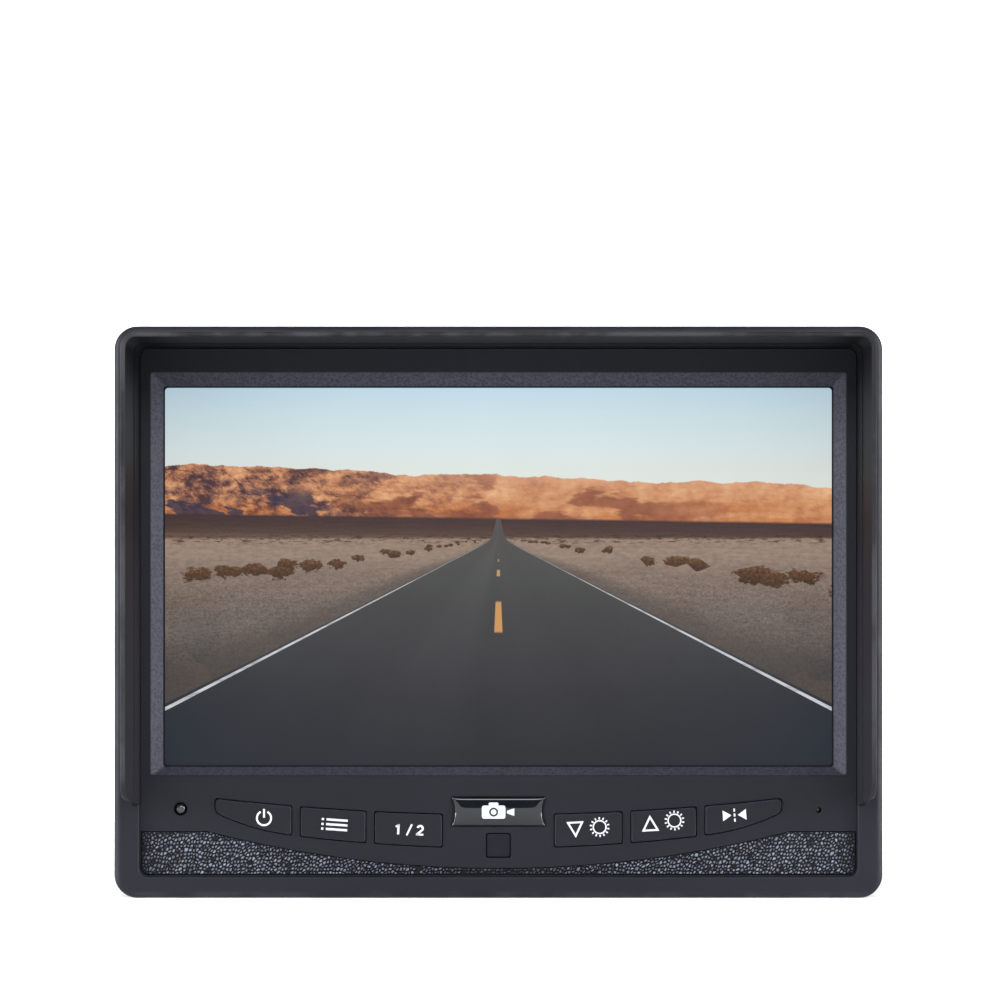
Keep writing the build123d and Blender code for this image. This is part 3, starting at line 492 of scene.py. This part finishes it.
def desert_road(n, x, z):
    """The road to the far hills, as its colour, where it is, and each place's distance across and depth.
    Lengths are in millimetres on the screen, from the point where the road's edges meet."""
    half_near, half_far = 2.0, 0.24  # half the road's width for each millimetre of depth
    depth = (0.02 - z).most(0.35)
    across = x / depth
    narrow = (0.45 + (ROAD_END - z) * half_far).least(1.9)
    half = ((depth * half_near).power(2.0) * z.rise(0.6, -0.6) + narrow * narrow).power(0.5)
    ground = z.rise(ROAD_END + 0.1, ROAD_END - 0.1)

    stops = [(0.0, tint(92, 88, 86)), (0.1, tint(86, 87, 85)), (0.35, tint(70, 70, 71))]
    stops += [(0.55, tint(60, 60, 63)), (0.75, tint(50, 50, 54)), (1.0, tint(40, 42, 47))]
    tar = n.ramp(depth / 50.0, stops)
    track = (across + 0.5).abs().rise(0.45, 0.1) * 0.12
    wheel = n.flat_noise(across * 1.2, 3.0, 0.5, 2) * 0.14
    grit = n.flat_noise(x, z * 1.5, 0.5, 3, 0.75) * depth.rise(4.0, 30.0) * 0.34
    patch = (n.flat_noise(x, z * 0.8, 14, 4) - 0.5) * 0.16
    tar = n.shade(tar, 0.72 + track + wheel + grit + patch)
    edges = (x / 77.0).power(2.0) * depth.rise(18.0, 46.0) * 0.75
    tar = n.mix(edges, tar, tint(33, 41, 51))

    line_half = (depth * 0.021).most(0.13)
    line_in = (x.abs() - half * 0.99 + line_half * 2.0).abs()
    worn = 0.55 + 0.45 * n.flat_noise(across * 6, depth, 2.0, 4, 0.7).rise(0.3, 0.6)
    paint = (line_in - line_half).rise(0.10, -0.10) * depth.rise(0.3, 2.5) * worn
    white = n.ramp(depth / 40.0, [(0.1, tint(168, 160, 154)), (0.5, tint(206, 207, 212))])
    tar = n.mix(paint, tar, white)

    nearest, pitch = 0.0448, 0.065  # the dashes are evenly spaced in one over depth
    beat = n.math("FRACT", (1 / depth - nearest) / pitch, 0.0)
    dash = beat.rise(0.36, 0.32) * beat.rise(0.0, 0.02) * (x.abs() - depth * 0.043).rise(0.1, -0.1)
    amber = n.ramp(depth / 25.0, [(0.2, tint(178, 152, 112)), (0.7, tint(206, 150, 92))])
    tar = n.mix(dash * depth.rise(2.5, 8.0), tar, amber)
    return tar, (x.abs() - half).rise(0.12, -0.12) * ground, across, depth


def screen_surface(name):
    """The lit picture: a desert road to far hills at dusk, worked out in the screen's own millimetres."""
    n = Nodes(name)
    x, _, z = n.axes_mm()
    low, high = box_mm("polarizer_film")
    middle = z - (low.z + high.z) / 2
    half_w, half_h = high.x - BLACK_EDGE, (high.z - low.z) / 2 - BLACK_EDGE
    z = z - (high.z - SKY_TOP)

    plain_top = 4.35 - x * 0.015
    swell = 3.0 * (n.flat_noise(x + 31, 0.0, 26, 1) - 0.5)
    jag = 2.4 * (n.flat_noise(x, 5.0, 9, 6, 0.62) - 0.5)
    ridge = 14.2 - x * 0.034 + (swell + jag)
    picture = n.mix((z - ridge).rise(0.14, -0.14), evening_sky(n, x, z, high.x), far_hills(n, x, z))

    # the dark plain, with a scatter of shrubs along its near edge
    streak = n.flat_noise(x * 0.10, z * 2.0, 0.8, 4)
    dots = n.flat_noise(x, z * 2.0, 0.8, 3, 0.7)
    stops = [(0.0, tint(70, 50, 52)), (0.5, tint(80, 58, 53)), (0.85, tint(94, 71, 61))]
    stops += [(1.0, tint(112, 88, 76))]
    plain = n.shade(n.ramp((plain_top - z) / 4.8, stops), 0.46 + 0.42 * streak + 0.42 * dots)
    plain = n.shade(plain, 0.86 + 0.14 * x.rise(-77.0, 0.0))
    picture = n.mix((z - plain_top).rise(0.4, -0.4), picture, plain)

    road, on_road, across, depth = desert_road(n, x, z)
    sand = dry_ground(n, x, z, across, depth)
    ragged = -0.3 - 0.9 * (n.flat_noise(x, z * 2, 1.6, 4, 0.7) - 0.5)
    picture = n.mix((z - ragged).rise(0.35, -0.35), picture, sand)
    far_dots = n.flat_noise(x * 0.5, z * 2.2, 1.3, 5, 0.75).rise(0.52, 0.60)
    far_dots = far_dots * (z + 0.5).abs().rise(1.5, 0.5)
    picture = n.mix(far_dots * 0.8, picture, tint(58, 42, 32))

    # dark strip where the asphalt breaks up beside the line, then shrubs beyond the gravel
    strip = (across.abs() - 2.0).rise(0.9, 0.1) * depth.rise(2.0, 8.0)
    broken = n.shade(tint(78, 74, 71), 0.7 + 0.6 * n.flat_noise(x, z, 1.2, 4, 0.7))
    picture = n.mix(strip * 0.6, picture, broken)
    picture = shrubs(n, x, z, depth, picture)
    picture = n.mix(on_road, picture, road)

    # the thin black edge with rounded corners
    corner = 0.8
    dx = (x.abs() - (half_w - corner)).most(0.0)
    dz = (middle.abs() - (half_h - corner)).most(0.0)
    lit = (dx * dx + dz * dz).power(0.5).rise(corner + 0.03, corner - 0.03)
    picture = n.mix(lit, tint(12, 16, 24), picture)
    return n.finish(
        Base_Color=n.shade(tint(8, 8, 10), 0.8 + 0.4 * n.noise(1.0)),
        Roughness=0.42 + 0.08 * (n.noise(0.3) - 0.5),
        Normal=n.bump(n.noise(0.1), 0.002),
        Specular_IOR_Level=0.12,
        Emission_Color=picture,
        Emission_Strength=0.97,
    )


# ---------------------------------------------------------------- what is inside and behind
def sheet_metal(name, colour, roughness, spangle_mm):
    """Plated steel with rolling marks and a faint spangle."""
    n = Nodes(name)
    x, _, z = n.axes_mm()
    roll = n.flat_noise(x * 0.05, z, 0.12, 3)
    spangle = n.cells(spangle_mm)
    level = 0.82 + 0.16 * roll + 0.22 * spangle
    return n.finish(
        Base_Color=n.shade(colour, level),
        Metallic=1.0,
        Roughness=roughness + 0.16 * (roll - 0.5) + 0.1 * (spangle - 0.4),
        Normal=n.bump(roll, 0.004),
    )


def turned_metal(name, colour, roughness):
    """Turned or drawn metal with fine rings along Y."""
    n = Nodes(name)
    _, y, _ = n.axes_mm()
    rings = n.flat_noise(y, 0.0, 0.07, 2)
    wear = n.noise(0.7, 3.0)
    return n.finish(
        Base_Color=n.shade(colour, 0.84 + 0.16 * rings + 0.16 * wear),
        Metallic=1.0,
        Roughness=roughness + 0.14 * (wear - 0.5),
        Normal=n.bump(rings, 0.006),
    )


def circuit_board(name):
    """Green solder mask over copper tracks, with tinned dots."""
    n = Nodes(name)
    x, _, z = n.axes_mm()
    lane = n.flat_noise(x * 0.25, z, 1.1, 1) * 9
    track = n.math("PINGPONG", lane, 0.5).rise(0.20, 0.26)
    dots = n.cells(2.6).rise(0.16, 0.12)
    mask = n.mix(track, tint(14, 74, 44), tint(30, 108, 62))
    return n.finish(
        Base_Color=n.mix(dots, n.shade(mask, 0.85 + 0.3 * n.noise(6.0)), tint(190, 190, 180)),
        Roughness=0.36 + 0.1 * (n.noise(0.5) - 0.5),
        Normal=n.bump(track, 0.02),
    )


def glass_layer(name, colour, roughness, clear):
    """Clear or smoky sheet, very slightly uneven."""
    n = Nodes(name)
    return n.finish(
        Base_Color=n.shade(colour, 0.94 + 0.12 * n.noise(14.0)),
        Roughness=roughness + 0.04 * (n.noise(2.0) - 0.5),
        Normal=n.bump(n.noise(20.0), 0.01),
        Transmission_Weight=clear,
    )


def paper_cone(name):
    """Pressed pulp with fibres."""
    n = Nodes(name)
    fibre = n.noise(0.5, 5.0, 0.7, distortion=2.0)
    return n.finish(
        Base_Color=n.shade(tint(44, 43, 42), 0.7 + 0.6 * fibre),
        Roughness=0.85 + 0.1 * (fibre - 0.5),
        Normal=n.bump(fibre, 0.06),
        Sheen_Weight=0.2,
    )


FINISHES = {
    "housing_plastic": housing_plastic,
    "hood_plastic": hood_plastic,
    "key_plastic": key_plastic,
    "badge_plastic": badge_plastic,
    "filter_plastic": filter_plastic,
    "clear_plastic": clear_plastic,
    "screen_surface": screen_surface,
    "foam": lambda name: moulded(name, tint(30, 30, 31), 0.92, 0.5, 0.08),
    "steel": lambda name: sheet_metal(name, tint(176, 178, 180), 0.36, 4.0),
    "cell_glass": lambda name: glass_layer(name, tint(60, 62, 66), 0.05, 0.3),
    "white_sheet": lambda name: moulded(name, tint(228, 230, 232), 0.45, 0.1, 0.004, 0.04),
    "acrylic": lambda name: glass_layer(name, tint(214, 226, 230), 0.04, 0.7),
    "lamp": lambda name: moulded(name, tint(236, 224, 170), 0.3, 0.2, 0.01, 0.06),
    "flex": lambda name: moulded(name, tint(168, 104, 38), 0.32, 0.6, 0.01, 0.2),
    "cream_plastic": lambda name: moulded(name, tint(214, 204, 178), 0.5, 0.2, 0.01),
    "board": circuit_board,
    "black_plastic": lambda name: moulded(name, tint(26, 26, 27), 0.45, 0.2, 0.01),
    "plunger_plastic": lambda name: moulded(name, tint(30, 30, 31), 0.5, 0.2, 0.01),
    "black_steel": lambda name: turned_metal(name, tint(40, 40, 42), 0.38),
    "zinc_steel": lambda name: turned_metal(name, tint(190, 190, 186), 0.3),
    "aluminium_can": lambda name: turned_metal(name, tint(205, 206, 208), 0.34),
    "ribbon": lambda name: moulded(name, tint(140, 141, 143), 0.5, 1.27, 0.1),
    "brass": lambda name: turned_metal(name, tint(212, 172, 96), 0.28),
    "socket_metal": lambda name: turned_metal(name, tint(186, 186, 182), 0.24),
    "pin_metal": lambda name: turned_metal(name, tint(232, 196, 110), 0.22),
    "speaker_steel": lambda name: moulded(name, tint(36, 36, 37), 0.4, 0.3, 0.01),
    "paper_cone": paper_cone,
    "magnet": lambda name: moulded(name, tint(70, 68, 68), 0.6, 0.3, 0.02),
    "wire": lambda name: moulded(name, tint(170, 34, 30), 0.4, 0.5, 0.01),
}
SLOT_OF = {part["node"]: part["material_slot"] for part in frame["record"]["subparts"]}
MATERIALS = {slot: FINISHES[slot](slot) for slot in sorted(set(SLOT_OF.values()))}


def dress_nodes():
    """Gives each CAD node its slot's finish."""
    for node, obj in NODES.items():
        for material_slot in obj.material_slots:
            material_slot.material = MATERIALS[SLOT_OF[node]]


# ---------------------------------------------------------------- meshes drawn here
def new_piece(name, mesh, material, body, slot):
    """An object that rides on a body of the CAD model."""
    obj = bpy.data.objects.new(name, mesh)
    bpy.context.scene.collection.objects.link(obj)
    mesh.materials.append(material)
    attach(obj, body)
    return obj


def mesh_from(name, points, faces):
    """A smooth mesh from points in millimetres."""
    mesh = bpy.data.meshes.new(name)
    mesh.from_pydata([tuple(v * MM for v in p) for p in points], [], faces)
    mesh.update()
    for face in mesh.polygons:
        face.use_smooth = True
    return mesh


def grid_faces(columns, rows):
    """The faces between points that are listed column by column."""
    faces = []
    for i in range(columns - 1):
        for j in range(rows - 1):
            a = i * rows + j
            faces.append((a, a + rows, a + rows + 1, a + 1))
    return faces


def close_back(mesh, y_mm):
    """Carries a sheet's border straight back to y_mm and caps it, so that the sheet becomes a solid."""
    bm = bmesh.new()
    bm.from_mesh(mesh)
    border = [edge for edge in bm.edges if edge.is_boundary]
    made = bmesh.ops.extrude_edge_only(bm, edges=border)
    for vertex in made["geom"]:
        if isinstance(vertex, bmesh.types.BMVert):
            vertex.co.y = y_mm * MM
    rim = [edge for edge in made["geom"] if isinstance(edge, bmesh.types.BMEdge) and edge.is_boundary]
    bmesh.ops.contextual_create(bm, geom=rim)
    bmesh.ops.recalc_face_normals(bm, faces=bm.faces)
    bm.to_mesh(mesh)
    bm.free()


def pebble_height(x, z, pitch, seed):
    """Height from 0 to 1 of close rounded pebbles, with narrow valleys between them."""
    rng = np.random.default_rng(seed)
    count = 256
    jitter = rng.random((count, count, 3))
    x, z = (x - 0.3 * z) * 1.06, z * 0.92  # they lean a little, and are taller than wide
    cx, cz = np.floor(x / pitch).astype(int), np.floor(z / pitch).astype(int)
    first = np.full(x.shape, 9.0)
    second = np.full(x.shape, 9.0)
    tall = np.zeros(x.shape)
    for i in (-2, -1, 0, 1, 2):
        for j in (-2, -1, 0, 1, 2):
            cell = jitter[(cx + i) % count, (cz + j) % count]
            px = (cx + i + 0.5 + 0.85 * (cell[..., 0] - 0.5)) * pitch
            pz = (cz + j + 0.5 + 0.85 * (cell[..., 1] - 0.5)) * pitch
            far = np.hypot(x - px, z - pz) / pitch
            nearer = far < first
            second = np.where(nearer, first, np.minimum(second, far))
            tall = np.where(nearer, cell[..., 2], tall)
            first = np.where(nearer, far, first)
    dome = np.clip((second - first) / 0.75, 0, 1)
    return (1 - (1 - dome) ** 2) * (0.78 + 0.22 * tall)


def grained_plastic(floor_y):
    """Pebbled plastic, dark in the valleys as painted shade and painted pale on the pebbles' tops as
    highlights, dimmed by painted shade at the middle and the ends. floor_y is where the valleys lie."""
    n = Nodes("grained_plastic")
    x, y, _ = n.axes_mm()
    height = (floor_y - y) / GRAIN_RELIEF
    # painted shade: the tops dimmer at the middle and at the ends
    painted_light_falloff = (0.15 + 0.85 * x.abs().rise(4.0, 30.0)) * x.abs().rise(82.6, 78.0)
    patches = n.noise(1.0).rise(0.38, 0.62)
    # painted highlight on the pebbles' tops
    top = height.rise(0.48, 0.98) * (0.5 + 0.5 * patches) * (0.14 + 0.86 * painted_light_falloff)
    return n.finish(
        Base_Color=n.mix(top, n.shade(tint(16, 17, 21), 0.8 + 0.4 * n.noise(0.5)), tint(114, 120, 135)),
        Roughness=0.55 - 0.2 * top,
        Normal=n.bump(n.noise(0.2, 3.0), 0.008),
        Specular_IOR_Level=0.1,
    )


def grain_field():
    """The pebbled band low on the front: level at its ends, dipping in one arc under the keys."""
    half_w, corner = 82.3, 1.8
    flat_top, dip_z, arc_r = LIFT + 15.05, LIFT + 6.65, 269.0
    floor_z = LIFT + 5.0
    floor_y = box_mm("front_frame")[0].y + PANEL_DEPTH + 0.5
    valley_y = floor_y - 0.05
    columns, rows = 1180, 72
    x = np.linspace(-half_w, half_w, columns)
    top = np.minimum(flat_top, dip_z + arc_r - np.sqrt(arc_r ** 2 - x ** 2))
    over = np.clip(np.abs(x) - (half_w - corner), 0, corner)
    bottom = floor_z + corner - np.sqrt(corner ** 2 - over ** 2)
    share = np.linspace(0, 1, rows)
    grid_x = np.repeat(x[:, None], rows, axis=1)
    grid_z = bottom[:, None] + (top - bottom)[:, None] * share[None, :]
    edge = np.minimum(grid_z - bottom[:, None], top[:, None] - grid_z)
    edge = np.minimum(edge, half_w - np.abs(grid_x))
    fade = np.clip(edge / 0.35, 0, 1)
    lift = pebble_height(grid_x, grid_z, GRAIN_PITCH, GRAIN_SEED) * fade
    grid_y = valley_y - GRAIN_RELIEF * lift
    points = np.stack([grid_x, grid_y, grid_z], axis=-1).reshape(-1, 3).tolist()
    mesh = mesh_from("grain_field", points, grid_faces(columns, rows))
    close_back(mesh, floor_y - 0.01)
    new_piece("grain_field", mesh, grained_plastic(valley_y), "housing", "housing_plastic")


def ring(cx, cz, outer, inner, start=0.0, end=360.0, steps=48):
    """Outlines that make up a ring, or part of one, from start to end in degrees."""
    angles = [math.radians(start + (end - start) * i / steps) for i in range(steps + 1)]
    made = []
    for a, b in zip(angles, angles[1:]):
        corners = [(outer, a), (outer, b), (inner, b), (inner, a)]
        made.append([(cx + r * math.cos(t), cz + r * math.sin(t)) for r, t in corners])
    return made


def bar(x0, z0, x1, z1, thick):
    """The outline of a straight stroke."""
    along = Vector((x1 - x0, z1 - z0)).normalized() * (thick / 2)
    side = Vector((-along.y, along.x))
    corners = [(x0, z0, 1), (x1, z1, 1), (x1, z1, -1), (x0, z0, -1)]
    return [[(x + way * side.x, z + way * side.y) for x, z, way in corners]]


def hollow_triangle(half, height, thick, upwards):
    """An outlined triangle about the origin."""
    way = 1 if upwards else -1
    slope = math.atan2(height, half)
    inset = thick / math.tan(slope / 2)
    outer = [(-half, -height / 2), (half, -height / 2), (0, height / 2)]
    low = -height / 2 + thick
    inner_half = half - inset
    inner = [(-inner_half, low), (inner_half, low), (0, low + inner_half * height / half)]
    made = []
    for i in range(3):
        j = (i + 1) % 3
        quad = [outer[i], outer[j], inner[j], inner[i]]
        made.append([(px, pz * way) for px, pz in quad])
    return made


def sun(cx, cz):
    """A ring with short rays: the sign for brightness."""
    rays = 14
    made = ring(cx, cz, 1.62, 1.32)
    for i in range(rays):
        angle = 2 * math.pi * (i + 0.5) / rays
        c, s = math.cos(angle), math.sin(angle)
        made += bar(cx + 1.76 * c, cz + 1.76 * s, cx + 2.28 * c, cz + 2.28 * s, 0.32)
    return made


def moved(outlines, dx, dz):
    """The same outlines, moved."""
    return [[(px + dx, pz + dz) for px, pz in outline] for outline in outlines]


def power_sign():
    """An open ring with a stroke in its gap."""
    return ring(0, 0, 1.85, 1.42, 118, 422) + bar(0, 0.1, 0, 2.1, 0.46)


def light_sign(upwards):
    """A triangle and a sun: the sign for a brighter or a dimmer picture."""
    arrow = hollow_triangle(2.0, 3.7, 0.42, upwards)
    return moved(arrow, -2.9, -0.1) + sun(2.7, 0.2)


def list_sign():
    """Three lines, each with a dot before it: the sign for a menu."""
    made = []
    for z in (-1.1, 0.0, 1.1):
        made += bar(-3.0, z, -2.5, z, 0.5)
        made += bar(-1.9, z, 3.0, z, 0.5)
    return made


def one_two_sign():
    """The figures 1 and 2 with a stroke between them, for the two inputs."""
    one = bar(-2.5, -1.15, -2.5, 1.15, 0.5) + bar(-3.1, 0.55, -2.5, 1.0, 0.4)
    stroke = bar(-0.55, -1.3, 0.55, 1.3, 0.4)
    bow = ring(2.5, 0.45, 0.82, 0.36, -35, 170, 20)
    two = bow + bar(3.02, 0.16, 1.75, -0.95, 0.46) + bar(1.6, -0.95, 3.3, -0.95, 0.42)
    return one + stroke + two


def mirror_sign():
    """Two triangles that face a broken line: the sign for a mirrored picture."""
    made = []
    for z in (-1.15, 0.0, 1.15):
        made += bar(0, z - 0.35, 0, z + 0.35, 0.38)
    for s in (-1, 1):
        corners = [(s * 0.75, 0.0), (s * 2.7, 1.25), (s * 2.7, -1.25)]
        made.append(corners if s < 0 else corners[::-1])
    return made


SIGNS = {  # key: outlines, place along X and up Z in the frame, and turn in degrees
    "key_power": (power_sign(), -53.9, 18.1, 0.0),
    "key_menu": (list_sign(), -37.7, 16.6, -4.0),
    "key_input": (one_two_sign(), -20.5, 15.4, -3.0),
    "key_dimmer": (light_sign(False), 20.6, 15.7, 3.0),
    "key_brighter": (light_sign(True), 37.8, 17.2, 3.0),
    "key_mirror": (mirror_sign(), 54.3, 18.8, 4.0),
}


def raise_outlines(name, outlines, place, turn, front, thick, look):
    """Outlines as a thin layer that stands proud of a face at front.
    look is the layer's material, body and slot."""
    c, s = math.cos(math.radians(turn)), math.sin(math.radians(turn))
    x, z = place
    bm = bmesh.new()
    for outline in outlines:
        spots = [(x + c * px - s * pz, LIFT + z + s * px + c * pz) for px, pz in outline]
        fore = [bm.verts.new((px * MM, (front - thick) * MM, pz * MM)) for px, pz in spots]
        back = [bm.verts.new((px * MM, (front + 0.01) * MM, pz * MM)) for px, pz in spots]
        bm.faces.new(fore)
        bm.faces.new(back[::-1])
        for i in range(len(fore)):
            j = (i + 1) % len(fore)
            bm.faces.new((fore[j], fore[i], back[i], back[j]))
    bmesh.ops.remove_doubles(bm, verts=bm.verts, dist=0.002 * MM)
    bmesh.ops.recalc_face_normals(bm, faces=bm.faces)
    mesh = bpy.data.meshes.new(name)
    bm.to_mesh(mesh)
    bm.free()
    new_piece(name, mesh, *look)


def key_signs():
    """Raised ink signs on the keys, each riding on its own key."""
    ink = moulded("sign_ink", tint(196, 198, 202), 0.55, 0.1, 0.004, 0.06)
    for key, (outlines, x, z, turn) in SIGNS.items():
        look = (ink, key, "key_plastic")
        raise_outlines(key + "_sign", outlines, (x, z), turn, box_mm(key)[0].y, INK_HEIGHT, look)


def lamp_gap_shade():
    """A black ring round the status lamp's lens: painted shade standing in for the shadowed gap round it.
    """
    black = moulded("painted_gap_shade", tint(5, 5, 6), 0.5, 0.2, 0.01, specular=0.0)
    panel_y = box_mm("front_frame")[0].y + PANEL_DEPTH
    look = (black, "housing", "black_plastic")
    raise_outlines("lamp_gap_shade", ring(0, 0, *LENS_GAP_SHADE), LENS_PLACE, 0.0, panel_y, LENS_GAP_SHADE_HEIGHT, look)


def badge_dome():
    """The label's resin dome: an oblong with hollowed ends that swells to a slightly crowned top."""
    low, high = box_mm("badge")
    cx, cz = (low.x + high.x) / 2, (low.z + high.z) / 2
    half_w, half_h = (high.x - low.x) / 2, (high.z - low.z) / 2
    hollow, sides, rise, crown = 0.8, 0.45, 0.6, 0.14  # depth of the ends' hollows, and heights
    columns, rows = 121, 61
    points = []
    for i in range(columns):
        u = -1 + 2 * i / (columns - 1)
        for j in range(rows):
            v = -1 + 2 * j / (rows - 1)
            x = u * (half_w - hollow * (1 - v * v))
            swell = max(0.0, (1 - abs(u) ** 14) * (1 - abs(v) ** 12)) ** 0.6
            bow = crown * (1 - v * v)
            points.append((cx + x, high.y - sides - rise * swell - bow, cz + v * half_h))
    mesh = mesh_from("badge_dome", points, grid_faces(columns, rows))
    close_back(mesh, high.y)
    obj = new_piece("badge_dome", mesh, MATERIALS["badge_plastic"], "housing", "badge_plastic")
    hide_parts("badge")


# ---------------------------------------------------------------- stage, lights and camera
def stage():
    """A pale floor that curves up into a backdrop behind the object."""
    n = Nodes("stage_white")
    x, y, _ = n.axes_mm()
    away = (x * x + y * y).power(0.5)
    far = y.rise(60.0, 500.0).most(away.rise(700.0, 1500.0))
    white = n.finish(
        Base_Color=n.shade(tint(246, 246, 247), 0.99 + 0.02 * n.noise(300.0)),
        Roughness=0.9,
        Emission_Color=(1, 1, 1, 1),
        Emission_Strength=FLOOR_GLOW + BACKDROP_GLOW * far,
    )
    half, front, bend_y, bend_r, top = 3.0, -3.0, 1.2, 0.6, 3.0
    profile = [(front, 0.0), (bend_y, 0.0)]
    for i in range(1, 13):
        angle = math.pi / 2 * i / 12
        profile.append((bend_y + bend_r * math.sin(angle), bend_r * (1 - math.cos(angle))))
    profile.append((bend_y + bend_r, top))
    points = [(x / MM, y / MM, z / MM) for y, z in profile for x in (-half, half)]
    faces = [(2 * i, 2 * i + 1, 2 * i + 3, 2 * i + 2) for i in range(len(profile) - 1)]
    floor = bpy.data.objects.new("stage_floor", mesh_from("stage_floor", points, faces))
    bpy.context.scene.collection.objects.link(floor)
    floor.data.materials.append(white)


def soft_light(name, place, target, size, watts):
    """A rectangular soft box that faces the target."""
    data = bpy.data.lights.new(name, "AREA")
    data.shape = "RECTANGLE"
    data.size, data.size_y = size
    data.energy = watts
    lamp = bpy.data.objects.new(name, data)
    bpy.context.scene.collection.objects.link(lamp)
    lamp.location = place
    lamp.rotation_euler = (Vector(target) - Vector(place)).to_track_quat("-Z", "Y").to_euler()


def front_middle():
    """The middle of the rim's front, in metres."""
    low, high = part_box("front_frame")
    return Vector((0, low.y, (low.z + high.z) / 2))


def light_studio(middle):
    """Soft boxes beside and in front of the object's middle, in a pale surrounding."""
    for name, (place, size, watts) in LAMPS.items():
        for side in ((-1, 1) if place[0] else (1,)):
            spot = Vector((side * place[0], place[1], place[2]))
            soft_light(name, middle + spot, middle, size, watts)
    world = bpy.data.worlds.new("studio")
    world.use_nodes = True
    background = world.node_tree.nodes["Background"]
    background.inputs["Color"].default_value = (0.95, 0.97, 1.0, 1)
    seen = world.node_tree.nodes.new("ShaderNodeLightPath").outputs["Is Camera Ray"]
    level = world.node_tree.nodes.new("ShaderNodeMath")  # white where it is seen, dim where it lights
    level.operation = "MAXIMUM"
    level.inputs[1].default_value = WORLD
    world.node_tree.links.new(seen, level.inputs[0])
    world.node_tree.links.new(level.outputs[0], background.inputs["Strength"])
    bpy.context.scene.world = world
    bpy.context.scene.view_settings.view_transform = "Standard"


def aim_camera(middle):
    """A long lens square to the screen, shifted so that the monitor stands low in the picture."""
    data = bpy.data.cameras.new("camera")
    data.sensor_width = SENSOR
    data.lens = LENS
    data.shift_x, data.shift_y = SHIFT
    camera = bpy.data.objects.new("camera", data)
    bpy.context.scene.collection.objects.link(camera)
    camera.location = middle + Vector((0, -CAMERA_DISTANCE, 0))
    camera.rotation_euler = (math.pi / 2, 0, 0)
    bpy.context.scene.camera = camera


dress_nodes()
grain_field()
key_signs()
lamp_gap_shade()
badge_dome()
stage()
middle = front_middle()
light_studio(middle)
aim_camera(middle)
